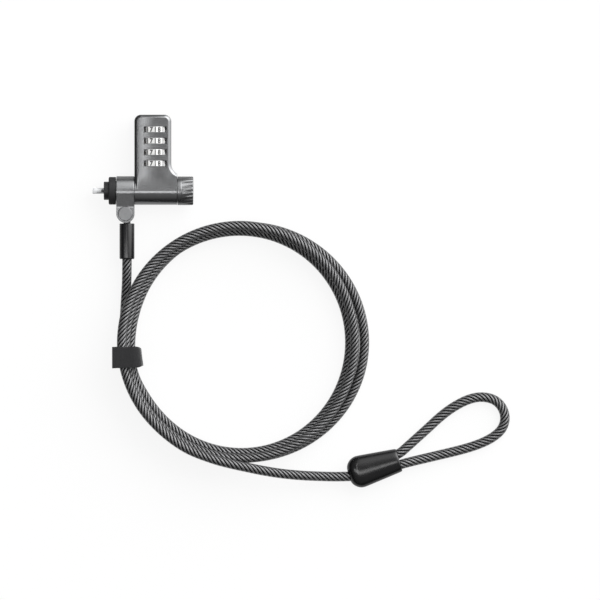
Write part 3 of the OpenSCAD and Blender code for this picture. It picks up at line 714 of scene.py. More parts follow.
def plain_finishes():
    """For each name: light colour, dark colour, range of roughness, metallic, and what else it has."""
    head = bpy.context.scene.lock_head
    paint, rubber, dial = tuple(head.paint), tuple(head.rubber), tuple(head.dial)
    return {
        "Cast Body": (shade(paint, 1.03), shade(paint, 0.97), (0.2, 0.24), 0.95, {"bump": 0.006}),
        # The collar and the knob take the body's paint, darkened as painted shade; the knob is darkened the
        # most
        "Cast Collar": (shade(paint, 1.0), shade(paint, 0.93), (0.22, 0.27), 0.95, {"bump": 0.008}),
        "Cast Knob": (shade(paint, 0.86), shade(paint, 0.74), (0.26, 0.32), 0.95, {"bump": 0.01}),
        "Pin Disc": (shade(paint, 0.95), shade(paint, 0.82), (0.36, 0.46), 0.95,
                     {"cloud": 900, "bump": 0.15}),
        "Cover Plate": (shade(paint, 0.62), shade(paint, 0.5), (0.42, 0.55), 0.6, {"bump": 0.3}),
        "Black Screws": ((0.05, 0.05, 0.052), (0.03, 0.03, 0.03), (0.3, 0.45), 0.7, {}),
        "Chrome Tip": ((0.68, 0.69, 0.7), (0.6, 0.61, 0.62), (0.5, 0.58), 0.2, {"bump": 0.01}),
        "Turned Steel": ((0.62, 0.62, 0.63), (0.5, 0.5, 0.51), (0.22, 0.35), 1.0,
                         {"cloud": 700, "bump": 0.08}),
        "Spring Steel": ((0.66, 0.66, 0.64), (0.5, 0.5, 0.5), (0.25, 0.4), 1.0, {}),
        "Black Nylon": (shade(rubber, 1.1), shade(rubber, 0.8), (0.42, 0.55), 0.0, {"bump": 0.3}),
        "Bumper Rubber": (shade(rubber, 1.5), shade(rubber, 1.0), (0.6, 0.78), 0.0,
                          {"grain": 2200, "bump": 0.5, "bump_size": 0.04, "Specular_IOR_Level": 0.35}),
        "Dark Pin": ((0.09, 0.09, 0.095), (0.05, 0.05, 0.05), (0.25, 0.35), 0.9, {}),
        # Painted shade: the dark tube under the rope's strands
        "Core Painted Shade": ((0.05, 0.05, 0.052), (0.02, 0.02, 0.02), (0.4, 0.5), 0.8, {"cloud": 300}),
        "Raw Zinc": ((0.46, 0.47, 0.48), (0.34, 0.35, 0.36), (0.35, 0.5), 0.95, {"bump": 0.2}),
        "Brass": ((0.72, 0.52, 0.24), (0.6, 0.42, 0.18), (0.25, 0.4), 1.0, {}),
        "Dial Plastic": (dial, shade(dial, 0.93), (0.35, 0.5), 0.0, {"bump": 0.06}),
        # Black print of the digits, which also paints the shade in the dial grooves
        "Digit Print and Groove Shade": ((0.02, 0.02, 0.02), (0.008, 0.008, 0.008), (0.45, 0.6), 0.0, {}),
        "Boot Plastic": ((0.009, 0.009, 0.01), (0.006, 0.006, 0.007), (0.2, 0.25), 0.0,
                         {"cloud": 90, "grain": 700, "bump": 0.01, "bump_size": 0.05,
                          "Specular_IOR_Level": 0.6}),
        # Painted shade inside the case: the dial chamber and the ends of the windows
        "Inner Painted Shade": ((0.012, 0.012, 0.012), (0.006, 0.006, 0.006), (0.6, 0.75), 0.0,
                        {"cloud": 300, "bump": 0.1}),
        "Crimp Gloss": ((0.006, 0.006, 0.007), (0.004, 0.004, 0.004), (0.17, 0.21), 0.0,
                        {"cloud": 50, "Specular_IOR_Level": 0.65}),
    }


MATERIALS = {}


def material(name):
    """The named finish, made on first use from the settings."""
    if name in MATERIALS:
        return MATERIALS[name]
    cable = bpy.context.scene.lock_cable
    if name == "Cable Jacket":
        made = jacket_finish(name, tuple(cable.jacket), cable.jacket_cover)
    elif name == "Steel Rope":
        made = rope_finish(name, tuple(cable.steel))
    elif name == "Strap Cloth":
        made = cloth_finish(name, tuple(cable.strap))
    else:
        *looks, more = plain_finishes()[name]
        made = finish(name, *looks, **more)
    MATERIALS[name] = made
    return made


# ---- operators ----


class LOCK_OT_stage(bpy.types.Operator):
    """Floor, dome, lamps and camera"""

    bl_idname = "cable_lock.stage"
    bl_label = "Stage and Camera"

    def execute(self, context):
        scene = context.scene
        settings = scene.lock_stage
        scene.view_settings.view_transform = "Standard"
        self.camera(scene, settings)
        self.floor(settings)
        self.dome(scene, settings)
        self.lamp("Strip Lamp", (-0.2, -0.2, 1.0), (0.0, -0.02, 0.0), 1.1, 0.15, settings.strip)
        self.lamp("Face Lamp", (-0.14, 0.1, 1.0), (0.0, 0.0, 0.0), 0.08, 0.9, settings.face)
        self.lamp("Soft Lamp", (0.75, 0.8, 0.95), (0.06, -0.06, 0.0), 1.2, 1.2, settings.key)
        return {"FINISHED"}

    def camera(self, scene, settings):
        """Straight above the lock. The lens grows with the distance, so the picture keeps its size."""
        middle_x, middle_y, middle_z = 0.0769, -0.0642, 0.007
        data = bpy.data.cameras.new("Camera")
        data.type = "PERSP"
        # From 1.63 m a lens of 200 mm takes in the whole lock
        data.lens = 200 * settings.distance / 1.63
        data.sensor_width = 36
        data.clip_end = 30
        eye = add_object("Camera", data)
        eye.location = (middle_x, middle_y, middle_z + settings.distance)
        scene.camera = eye

    def floor(self, settings):
        """White where it is looked at, and dimmer in a mirrored ray that comes from further off."""
        made, tree, shader = new_material("Pale Floor")
        tree.nodes.remove(shader)
        path = add_node(tree, "ShaderNodeLightPath").outputs
        direct = math_node(tree, "MAXIMUM", path["Is Camera Ray"], path["Is Transmission Ray"])
        near = map_range(tree, path["Ray Length"], 0.01, 0.09, 0.6, 0.03)
        mirrored = math_node(tree, "MULTIPLY", path["Is Glossy Ray"], near)
        matte = add_node(tree, "ShaderNodeBsdfDiffuse", {"Color": (*settings.floor, 1)})
        glow = add_node(tree, "ShaderNodeEmission", {
            "Strength": math_node(tree, "MAXIMUM", direct, mirrored)})
        seen = math_node(tree, "MAXIMUM", direct, path["Is Glossy Ray"])
        mix = add_node(tree, "ShaderNodeMixShader", {
            0: math_node(tree, "MULTIPLY", seen, 0.88), 1: matte.outputs[0], 2: glow.outputs[0]})
        feed(tree, tree.nodes["Material Output"].inputs["Surface"], mix.outputs[0])
        bm = bmesh.new()
        bmesh.ops.create_grid(bm, x_segments=1, y_segments=1, size=2500)
        make("floor", bm, made)

    def dome(self, scene, settings):
        """Brightest overhead, with a glow on one side."""
        world = bpy.data.worlds.new("Dome")
        world.use_nodes = True
        scene.world = world
        tree = world.node_tree
        way = add_node(tree, "ShaderNodeTexCoord").outputs["Generated"]
        up = add_node(tree, "ShaderNodeSeparateXYZ", {0: way}).outputs["Z"]
        overhead = map_range(tree, up, 0.0, 0.75, 0.04 * settings.sky, settings.sky)
        toward = vector_node(tree, "DOT_PRODUCT", way, Vector((0.66, 0.62, 0.42)).normalized())
        side = map_range(tree, toward, 0.5, 0.98, 0.0, settings.glow)
        back = tree.nodes["Background"]
        feed(tree, back.inputs["Color"], (1, 1, 1, 1))
        feed(tree, back.inputs["Strength"], math_node(tree, "ADD", overhead, side))

    def lamp(self, name, where, target, along_x, along_y, power):
        """A rectangular lamp that faces its target, with its sides along X and Y."""
        data = bpy.data.lights.new(name, "AREA")
        data.shape = "RECTANGLE"
        data.size = along_x
        data.size_y = along_y
        data.energy = power
        lamp = add_object(name, data)
        lamp.location = where
        back = (Vector(where) - Vector(target)).normalized()
        right = (Vector((1, 0, 0)) - back * back.x).normalized()
        lamp.rotation_euler = Matrix((right, back.cross(right), back)).transposed().to_euler()


class LOCK_OT_strap(bpy.types.Operator):
    """Hook-and-loop strap round the coil"""

    bl_idname = "cable_lock.strap"
    bl_label = "Strap"
    # Half its thickness, and how many faces go across it
    half_thick = 0.26
    across = 14

    def execute(self, context):
        width = context.scene.lock_cable.strap_width / MM
        path = self.band()
        long = [0.0]
        for a, b in zip(path, path[1:]):
            long.append(long[-1] + (b - a).length)
        bm = bmesh.new()
        chart = bm.loops.layers.uv.new("Cloth")
        rows = []
        for i, p in enumerate(path):
            ahead = (path[min(i + 1, len(path) - 1)] - path[max(i - 1, 0)]).normalized()
            out = Vector((-ahead.y, ahead.x))
            shares = [k / self.across for k in range(self.across + 1)]
            outside = [self.spot(p, out, long[i], share, 1, width) for share in shares]
            inside = [self.spot(p, out, long[i], 1 - share, -1, width) for share in shares]
            rows.append([bm.verts.new(spot) for spot in outside + inside])
        count = len(rows[0])
        step = width / self.across
        for i, (row, after) in enumerate(zip(rows, rows[1:])):
            for k in range(count):
                j = (k + 1) % count
                face = bm.faces.new((row[k], row[j], after[j], after[k]))
                for loop, (u, v) in zip(face.loops, ((i, k), (i, k + 1), (i + 1, k + 1), (i + 1, k))):
                    loop[chart].uv = (long[u], v * step)
        bm.faces.new(rows[0])
        bm.faces.new(rows[-1])
        bmesh.ops.recalc_face_normals(bm, faces=bm.faces)
        strap = make("strap", bm, material("Strap Cloth"), sharp=60)
        place(strap, "cable_assembly", "strap_fabric", "cable_strap")
        return {"FINISHED"}

    def spot(self, p, out, long, share, side, width):
        """A point of the strap, on its outer or inner side, at a share of its width."""
        thin = 1 - abs(2 * share - 1) ** 10 * 0.55
        wave = 0.1 * math.sin(long * 0.55 + share * 2.4) * (2 * share - 1)
        q = p + out * (side * self.half_thick * thin + wave)
        skew = 0.12 * math.sin(long * 0.9 + side)
        # It leans, narrows where it goes down inside the coil, and its free end is cut aslant
        bend = clamp((52.6 - q.x) / 2.6)
        free = clamp((q.x - 60.5) / 3)
        y = (0.5 - share) * (width + skew) * (1 - 0.16 * bend * bend)
        flat = Vector((q.x + 0.12 * y * free, y - 0.1 * (q.x - 56), 0))
        turned = Matrix.Rotation(STRAP_TURN, 3, "Z") @ flat + COIL_CENTRE
        return turned.x, turned.y, q.y

    def band(self):
        """Side view of the strap, as radius from the coil's centre and height."""
        high = STRAP_HIGH
        inner_end = [(57.2, high + 0.02)]
        outside = [(60.8, high - 0.05), (62.3, high - 1.2), (62.6, high - 3.8), (62.55, 9.0), (62.5, 4.6),
                   (61.7, 1.9), (59.4, 0.6)]
        under = [(56.0, 0.5), (53.0, 0.6), (51.0, 1.7), (50.2, 4.8)]
        inside = [(49.95, 8.5), (49.9, high - 5.4), (49.9, high - 2.2), (50.8, high - 0.2),
                  (53.0, high + 0.5)]
        tab = [(56.0, high + 0.6), (60.5, high + 0.6), (64.1, high + 0.5)]
        knots = [(x, y, 0) for x, y in inner_end + outside + under + inside + tab]
        return [p.to_2d() for p in smooth_path(knots, 0.55)]


class LOCK_OT_crimp(bpy.types.Operator):
    """Glossy cover of the crimped eye"""

    bl_idname = "cable_lock.crimp"
    bl_label = "Crimp Cover"
    # Where the round nose passes into the body, the nose's length and that of the body's taper
    nose = 5.6
    nose_long = 5.3
    taper = 21.8
    # Half the body's height at the nose, and how much thinner it is at the mouth
    high = 5.25
    thinner = 0.8
    sides = 72

    def execute(self, context):
        turn = Matrix.Rotation(CRIMP_TURN, 3, "Z")
        # Rings along the body, and those of the rolled mouth with their sizes
        body = [0.3, 0.34, 0.45, 0.65, 0.95, 1.4, 2.0, 2.8, 3.8, 5.0, 6.4, 8.5, 12, 16, 20, 23, 25.1]
        mouth = [(25.8, 0.985), (26.15, 0.95), (26.28, 0.9), (26.2, 0.84), (25.9, 0.8)]
        rings = []
        for x, size in [(x, 1.0) for x in body] + mouth:
            f = clamp((x - self.nose) / self.taper)
            bulge = 1.0
            if x <= self.nose:
                bulge = math.sqrt(max(0.0, 1 - ((self.nose - x) / self.nose_long) ** 2))
            high = (self.high - self.thinner * f) * size * bulge
            wide = high + (1.9 + 0.9 * min(1, x / 6.5) - 2 * self.thinner * f) * size * min(1, bulge * 3)
            ring = []
            for k in range(self.sides):
                a = 2 * math.pi * (k + 0.5) / self.sides
                flat = math.cos(a) * (2 - abs(math.cos(a)))
                y = high * math.cos(a) + (wide - high) * flat
                ring.append(turn @ Vector((x, y, high * math.sin(a))) + CRIMP_TIP)
            rings.append(ring)
        cover = make("crimp", skin(rings), material("Crimp Gloss"), sharp=70)
        smooth = cover.modifiers.new("Smooth", "SUBSURF")
        smooth.levels = smooth.render_levels = 1
        apply_modifiers(cover, sharp=70)
        place(cover, "cable_assembly", "crimp_gloss", "crimp_cover")
        return {"FINISHED"}


class LOCK_OT_boot(bpy.types.Operator):
    """Black boot over the cable terminal"""

    bl_idname = "cable_lock.boot"
    bl_label = "Cable Boot"

    def execute(self, context):
        outline = soften([(-26.8, 3.1), (-26.8, 3.65), (-44.2, 3.65), (-44.2, 2.3), (-42.6, 2.3),
                          (-42.6, 2.6), (-37.2, 2.95)], [0.15, 0.4, 0.6, 0.25, 0, 0, 0])
        boot = make("boot", revolve(outline, centre=BOOT, axis=1), material("Boot Plastic"), sharp=40)
        place(boot, "cable_assembly", "cable_boot", "cable_sleeve")
        return {"FINISHED"}


class LOCK_OT_cable(bpy.types.Operator):
    """Steel rope in its clear jacket, from the boot round the eye"""

    bl_idname = "cable_lock.cable"
    bl_label = "Cable"

    def execute(self, context):
        settings = context.scene.lock_cable
        path = [p * MM for p in cable_path()]
        tree = rope_tree()
        plain = {"Strands": 1, "Lay_Radius": 0.0, "Lay_Length": 1.0}
        jacket = self.sweep("cable_jacket", path, tree, Strand_Diameter=settings.diameter, Step=0.0016,
                            Sides=20, Material=material("Cable Jacket"), **plain)
        rope = self.sweep("steel_rope", path, tree, Strands=settings.strands,
                          Strand_Diameter=settings.strand, Lay_Radius=settings.lay_radius,
                          Lay_Length=settings.lay, Step=0.0008, Sides=8, Material=material("Steel Rope"))
        # The dark core is painted shade, seen in the gaps between the strands
        core = self.sweep("rope_core", path, tree,
                          Strand_Diameter=2 * settings.lay_radius - 0.6 * settings.strand, Step=0.003,
                          Sides=10, Material=material("Core Painted Shade"), **plain)
        place(core, "cable_assembly", "dark_steel")
        place(rope, "cable_assembly", "pin_steel")
        place(jacket, "cable_assembly", "cable_jacket", "cable_lead", "cable_coil", "cable_tail", "cable_eye")
        return {"FINISHED"}

    def sweep(self, name, path, tree, **values):
        """Runs the rope tree along the path."""
        curve = bpy.data.curves.new(name, "CURVE")
        curve.dimensions = "3D"
        line = curve.splines.new("POLY")
        line.points.add(len(path) - 1)
        for point, p in zip(line.points, path):
            point.co = (*p, 1)
        guide = add_object(name + "_guide", curve)
        use_tree(guide, tree, **values)
        mesh = shown_mesh(guide)
        mesh.name = name
        bpy.data.objects.remove(guide)
        finish_shading(mesh, 70)
        return add_object(name, mesh)


class LOCK_OT_case(bpy.types.Operator):
    """Cast body: dial case and barrel"""

    bl_idname = "cable_lock.case"
    bl_label = "Cast Body"
    # The face falls off by this much towards its sides
    crown = 0.6
    # Height at which the rim of the face begins, and the rim's height
    rim_low = 12.4
    rim = 1.6
    # Inside of the case over the dials, and the rounding of its upper corners
    chamber = (-3.2, 13.15)
    corner = 3.2
    # Middle and half width of the case's face
    middle = 4.95
    half = 8.95
    # Centre and radius of the flare from the case to the barrel
    flare = (19.4, 2.4, 5.5)

    def execute(self, context):
        body = make("body", self.shell(), material("Cast Body"))
        end = BARREL_END
        barrel = revolve(soften([(CASE_LEFT, 0.0), (CASE_LEFT, BARREL_R), (end, BARREL_R), (end, 0.0)],
                                [0, 0.22, 0.05, 0]), 160)
        carve(body, [barrel, rod_x(-13, -3, 4.8, 96)], "UNION")
        left, right = self.chamber
        cuts = [
            # Chamber of the dials, and the seat of the back cover under it
            block((left, -1.3, 1.0), (right, 24.4, 12.4)),
            block((left, -6.0, -1.0), (right, 24.4, 1.2)),
            # Bores for the spindle bush, the nose bush and the spindle
            rod_x(left, 18, 6.0, 96),
            rod_x(-14, -8.4, 3.23),
            rod_x(-9, -3, 1.8),
            # Room for the cam and for the locking bar
            block((left, -10.8, 1.21), (-0.8, -3.8, 12)),
            block((left, -4.2, 6.7), (-0.8, -0.3, 10.5)),
            # The dial axle and its head
            rod((DIAL_X, -3.3, DIAL_Z), (DIAL_X, 28, DIAL_Z), 1.53),
            rod((DIAL_X, 25.1, DIAL_Z), (DIAL_X, 28, DIAL_Z), 2.23),
            # Hole of the pin that holds the spindle bush
            rod_z(8, AXIS.y, -1, 3, 0.93, 32),
        ]
        for y in DIAL_Y:
            cuts.append(block((DIAL_X - WINDOW_HALF, y - 1.45, 11), (DIAL_X + WINDOW_HALF, y + 1.45, 15)))
        carve(body, cuts)
        # Posts of the upper cover screws
        carve(body, [rod_z(x, 22.4, 1.2, 12.6, 1.7, 32) for x in (-1.3, 11.0)], "UNION")
        round_edges(body, context.scene.lock_head.edge)
        self.blacken(body)
        self.true_normals(body)
        place(body, "head", "barrel_metal", "body_casting")
        return {"FINISHED"}

    def shell(self):
        """The solid outside of the case, with its rim rounded and its face crowned."""
        # How far the outline is drawn in at each height, up to the slanting rim
        steps = [(0.3, 0.0), (0.09, 0.09), (0.0, 0.3), (0.0, 4.0), (0.0, 8.5), (0.0, 12.45), (0.04, 12.68),
                 (0.16, 12.88), (0.6, 13.36), (1.02, 13.8), (1.2, 13.94), (1.45, CASE_FACE)]
        shell = skin([[(x, y, z) for x, y in self.outline(inset)] for inset, z in steps])
        # The face is cut into strips both ways, so that it can bend
        wide = 17.9
        planes = [((CASE_LEFT + wide * k / 15, 0, 0), (1, 0, 0)) for k in range(1, 15)]
        planes += [((0, y, 0), (0, 1, 0)) for y in (-10.2, -9, -7.5, -6, -4.5, -3, -1, 2, 6, 10, 14, 18, 22)]
        for spot, normal in planes:
            bmesh.ops.bisect_plane(shell, geom=shell.verts[:] + shell.edges[:] + shell.faces[:],
                                   plane_co=spot, plane_no=normal)
        for v in shell.verts:
            if v.co.z > self.rim_low:
                # The crown fades in from the barrel to the dials
                share = clamp((v.co.y + 9) / 8)
                side = min(1.0, abs(v.co.x - self.middle) / self.half)
                drop = 0.03 + self.crown * side * side * share * share * (3 - 2 * share)
                v.co.z -= drop * (v.co.z - self.rim_low) / self.rim
        return shell

    def outline(self, inset):
        """Front view of the case, drawn in by the inset at its outer sides."""
        left, right, top = CASE_LEFT + inset, CASE_RIGHT - inset, CASE_TOP - inset
        corner = self.corner - inset
        quarter = math.pi / 2
        x, y, r = self.flare
        r += inset
        last = math.acos((BARREL_END - x) / r)
        return ([(left, AXIS.y), (left, 2.0), (left, 12.0)]
                + arc(left + corner, top - corner, corner, math.pi, -quarter, 16)
                + [(4.7, top)]
                + arc(right - corner, top - corner, corner, quarter, -quarter, 16)
                + [(right, 12.0)]
                + arc(x, y, r, math.pi, math.pi - last, 20)
                + [(BARREL_END, AXIS.y)])

    def blacken(self, body):
        """Painted shade: black inside the dial chamber and on the end walls of the windows."""
        body.data.materials.append(material("Inner Painted Shade"))
        low, high = (-3.3, -6.1, 1.1), (13.25, 24.5, 12.46)
        for face in body.data.polygons:
            spot = face.center / MM
            inside = all(a < c < b for a, b, c in zip(low, high, spot))
            end = abs(abs(spot.x - DIAL_X) - WINDOW_HALF) < 0.1
            if inside or (abs(face.normal.x) > 0.9 and end and spot.z > 12):
                face.material_index = 1

    def true_normals(self, body):
        """Shading that follows the barrel and the straight sides exactly, past the cuts in them."""
        data = body.data
        normals = [corner.vector.copy() for corner in data.corner_normals]
        for face in data.polygons:
            spots = [data.vertices[i].co / MM for i in face.vertices]
            on_barrel = all(abs(math.hypot(p.y - AXIS.y, p.z - AXIS.z) - BARREL_R) < 0.015
                            and -3.75 < p.x < 16.76 for p in spots)
            straight = abs(face.normal.y) < 0.02 and abs(face.normal.x) > 0.1
            for loop, p in zip(face.loop_indices, spots):
                if on_barrel:
                    normals[loop] = Vector((0, p.y - AXIS.y, p.z - AXIS.z)).normalized()
                elif straight:
                    normals[loop] = Vector((normals[loop].x, 0, normals[loop].z)).normalized()
        data.normals_split_custom_set(normals)


class LOCK_OT_collar(bpy.types.Operator):
    """Swivel collar with its fork lug, and the pin"""

    bl_idname = "cable_lock.collar"
    bl_label = "Swivel Collar"

    def execute(self, context):
        left, right = COLLAR_LEFT, COLLAR_RIGHT
        side = self.side()
        steps = [(left, 0.28), (left + 0.08, 0.08), (left + 0.28, 0.0), (right - 0.28, 0.0),
                 (right - 0.08, 0.08), (right, 0.28)]
        rings = []
        for x, inset in steps:
            f = 1 - inset / COLLAR_R
            rings.append([(x, AXIS.y + d * f, AXIS.z + h * f) for d, h in side])
        collar = make("collar", skin(rings), material("Cast Collar"))
        carve(collar, [self.front()], "INTERSECT")
        carve(collar, [
            # Bore, and the slot of the fork
            rod_x(left - 1, right + 1, 4.85, 96),
            block((left - 1, -28, AXIS.z - 1.6), (right + 1, -17.2, AXIS.z + 1.6)),
            # Hole of the lug pin, and the seats of its disc and its foot
            rod_z(LUG.x, LUG.y, -1, 16, 1.53, 48),
            rod_z(LUG.x, LUG.y, AXIS.z + 4.8, 16, 3.5, 96),
            rod_z(LUG.x, LUG.y, -1, AXIS.z - 4.7, 2.23, 48),
        ])
        round_edges(collar, context.scene.lock_head.edge * 1.3)
        place(collar, "collar", "collar_metal", "swivel_collar")
        pin = [(1.85, 0.0), (1.85, 2.2), (2.45, 2.2), (2.45, 1.5), (11.95, 1.5), (11.95, 3.42), (12.42, 3.42),
               (12.52, 3.2), (12.55, 2.6), (12.6, 1.5), (12.62, 0.0)]
        disc = make("lug_pin_piece",
                    revolve(soften(pin, [0, 0.15, 0, 0, 0, 0, 0.08, 0.1, 0, 0, 0]), centre=LUG, axis=2),
                    material("Pin Disc"), sharp=40)
        place(disc, "collar", "pin_steel", "lug_pin")
        return {"FINISHED"}

    def front(self):
        """Front view of the collar and its round lug, as a block that keeps what is inside it."""
        half = (COLLAR_RIGHT - COLLAR_LEFT) / 2
        centre = (COLLAR_LEFT + COLLAR_RIGHT) / 2
        outline = [(centre - half - 0.2, 2.0), (centre + half + 0.2, 2.0), (centre + half + 0.2, -10.8),
                   (centre + half, -12.0)]
        outline += arc(centre, LUG.y, half, 0, -math.pi, 32)
        outline += [(centre - half, -12.0), (centre - half - 0.2, -10.8)]
        return skin([[(x, y, z) for x, y in outline] for z in (-2, 16)])

    def side(self):
        """Side view of the collar and lug, as (along Y, up) from the barrel's axis."""
        half, slope = LUG_HALF, math.radians(14)
        flat = -(COLLAR_R - half * math.cos(slope)) / math.sin(slope)
        first = math.pi / 2 + slope
        return arc(0, 0, COLLAR_R, first, -2 * first, 120) + [
            (flat + 0.5, -half - 0.12), (flat, -half - 0.02), (flat - 0.6, -half), (-15.8, -half),
            (-15.8, half), (flat - 0.6, half), (flat, half + 0.02), (flat + 0.5, half + 0.12)]


class LOCK_OT_knob(bpy.types.Operator):
    """Fluted knob and its screw"""

    bl_idname = "cable_lock.knob"
    bl_label = "Knob"

    def execute(self, context):
        head = context.scene.lock_head
        inner_end = [(16.4, 1.53), (16.4, 5.85), (17.0, 5.85), (17.0, 6.8), (17.02, 6.9), (17.07, 6.96),
                     (17.14, 6.99), (17.25, 7.0), (18.6, 7.0), (19.02, 7.0), (19.1, 6.94), (19.2, 6.94),
                     (19.28, 7.0)]
        # Close rings, which the flutes are pressed into
        fluted = [(19.3 + 0.165 * k, 7.0) for k in range(1, 31)]
        outer_end = [(24.38, 6.98), (24.52, 6.91), (24.63, 6.77), (24.69, 6.5), (24.7, 6.2), (24.7, 5.6),
                     (24.7, 3.6), (24.62, 3.32), (24.45, 3.2), (23.5, 3.2), (23.5, 1.1), (21.05, 1.1),
                     (21.05, 1.53)]
        blank = make("knob_piece", revolve(inner_end + fluted + outer_end, head.flutes * 12), sharp=40)
        use_tree(blank, flute_tree(), Flutes=head.flutes, Depth=head.flute_depth, Lean=head.flute_lean,
                 Start=0.0193, End=0.0247, Axis=AXIS * MM, Material=material("Cast Knob"))
        apply_modifiers(blank, sharp=40)
        place(blank, "spindle", "knob_metal", "knob")
        screw = soften([(16.8, 0.0), (16.8, 1.0), (23.5, 1.0), (23.5, 2.4), (24.2, 2.35), (24.4, 1.9),
                        (24.4, 0.0)], [0, 0.2, 0, 0.1, 0.3, 0.3, 0])
        piece = make("knob_screw_piece", revolve(screw, 64), material("Turned Steel"))
        carve(piece, [block((24.0, -14, 6.85), (25, -7.5, 7.45))])
        round_edges(piece, 0.06 * MM)
        place(piece, "spindle", "pin_steel", "knob_screw")
        return {"FINISHED"}


class LOCK_OT_nose(bpy.types.Operator):
    """Nose bush and rubber bumper ring"""

    bl_idname = "cable_lock.nose"
    bl_label = "Nose and Bumper"

    def execute(self, context):
        outline = soften([(-19.0, 1.55), (-19.0, 4.45), (-13.9, 4.45), (-13.9, 6.1), (-13.1, 6.1),
                          (-13.1, 3.2), (-8.5, 3.2), (-8.5, 1.55)], [0.08, 0.3, 0, 0.1, 0.1, 0, 0.2, 0])
        nose = make("nose_piece", revolve(outline), material("Black Nylon"), sharp=40)
        carve(nose, [rod_x(-20, -16.6, 0.62, 24, rise) for rise in (2.75, -2.75)])
        finish_shading(nose.data, 40)
        place(nose, "head", "black_plastic", "nose_bush")
        ring = soften([(-16.65, 4.52), (-16.65, 6.75), (-13.1, 6.75), (-13.1, 6.15), (-14.15, 6.15),
                       (-14.15, 4.52)], [0.2, 0.75, 0.35, 0, 0, 0], 6)
        bumper = make("bumper", revolve(ring, 128), material("Bumper Rubber"), sharp=50)
        place(bumper, "head", "bumper_rubber", "bumper_ring")
        return {"FINISHED"}


class LOCK_OT_spindle(bpy.types.Operator):
    """Locking tip and spindle"""

    bl_idname = "cable_lock.spindle"
    bl_label = "Spindle"

    def execute(self, context):
        shaft = [(-22.6, 0.0), (-22.6, 1.4), (-19.1, 1.4), (-18.95, 1.5), (21.0, 1.5), (21.0, 0.0)]
        spindle = make("spindle_piece", revolve(shaft, 64), material("Chrome Tip"))
        bar = make("tip_bar", block((-24.45, AXIS.y - 1.45, 2), (-22.45, AXIS.y + 1.45, 12)),
                   material("Chrome Tip"))
        carve(bar, [rod_x(-24.6, -22.3, 3.25, 96)], "INTERSECT")
        round_edges(bar, 0.15 * MM, segments=3)
        place(spindle, "spindle", "chrome_steel", "lock_spindle")
        place(bar, "spindle", "chrome_steel")
        return {"FINISHED"}


class LOCK_OT_dials(bpy.types.Operator):
    """Four ten-sided dials with painted digits"""

    bl_idname = "cable_lock.dials"
    bl_label = "Number Dials"
    half_step = math.pi / DIAL_SIDES
    # Bore of a wheel, bottom and half width of the groove at its corners, half its width, its chamfer
    bore = 2.8
    groove = 5.95
    groove_half = 0.24
    half_wide = 1.35
    chamfer = 0.12

    def execute(self, context):
        height = context.scene.lock_head.digit_height / MM
        digits = [self.digit(n, height) for n in range(10)]
        flat = DIAL_R * math.cos(self.half_step)
        for i, y in enumerate(DIAL_Y):
            dial = make("dial_piece_%d" % (i + 1), self.wheel(y), material("Dial Plastic"), sharp=20)
            self.darken_grooves(dial)
            place(dial, "dial_wheel_%d" % (i + 1), "dial_plastic", "dial_%d" % (i + 1))
            bm = bmesh.new()
            for k in range(DIAL_SIDES):
                turn = self.half_step + 2 * self.half_step * k
                out = Vector((math.sin(turn), 0, math.cos(turn)))
                along = Vector((math.cos(turn), 0, -math.sin(turn)))
                spot = Vector((DIAL_X, y, DIAL_Z)) + out * flat
                mesh = digits[(8 + k) % DIAL_SIDES].copy()
                mesh.transform(Matrix((
                    (along.x, 0, out.x, spot.x), (along.y, 1, out.y, spot.y), (along.z, 0, out.z, spot.z),
                    (0, 0, 0, 1))))
                bm.from_mesh(mesh)
                bpy.data.meshes.remove(mesh)
            numbers = make("dial_digits_%d" % (i + 1), bm, material("Digit Print and Groove Shade"), sharp=30)
            place(numbers, "dial_wheel_%d" % (i + 1), "black_plastic")
        return {"FINISHED"}

    def darken_grooves(self, dial):
        """Painted shade: the faces beside each corner of the wheel are black, as shade in the grooves."""
        dial.data.materials.append(material("Digit Print and Groove Shade"))
        for face in dial.data.polygons:
            spot = face.center / MM
            turn = math.degrees(math.atan2(spot.x - DIAL_X, spot.z - DIAL_Z)) % 36
            if abs(face.normal.y) < 0.1 and min(turn, 36 - turn) < 4:
                face.material_index = 1

    def digit(self, number, height):
        """One digit in millimetres, centred, a hair above its facet."""
        text = bpy.data.curves.new("digit", "FONT")
        text.body = str(number)
        # A digit stands 0.7 of its letter size high
        text.size = height / 0.7
        text.extrude = 0.02
        text.offset = 0.12
        text.resolution_u = 4
        holder = add_object("digit", text)
        mesh = shown_mesh(holder)
        bpy.data.objects.remove(holder)
        xs = [v.co.x for v in mesh.vertices]
        ys = [v.co.y for v in mesh.vertices]
        mesh.transform(Matrix.Translation((-(min(xs) + max(xs)) / 2, -(min(ys) + max(ys)) / 2, 0.005)))
        mesh.transform(Matrix.Diagonal((0.95, 1, 1, 1)))
        return mesh

    def wheel(self, y):
        """A ten-sided wheel with a fine groove at each corner."""
        half = DIAL_R * math.sin(self.half_step)
        flat = DIAL_R * math.cos(self.half_step)
        outer = []
        for k in range(DIAL_SIDES):
            corner = 2 * self.half_step * k
            outer.append((self.groove, corner))
            for side in (-1, 1):
                reach = side * (half - self.groove_half)
                outer.append((math.hypot(flat, reach), corner + self.half_step + math.atan2(reach, flat)))
        edge, shoulder = self.half_wide, self.half_wide - self.chamfer
        rings = []
        for h, shrink in ((edge, None), (edge, self.chamfer), (shoulder, 0), (-shoulder, 0),
                          (-edge, self.chamfer), (-edge, None)):
            ring = []
            for r, a in outer:
                r = self.bore if shrink is None else r - shrink
                ring.append((DIAL_X + r * math.sin(a), y + h, DIAL_Z + r * math.cos(a)))
            rings.append(ring)
        return skin(rings, wrap=True)


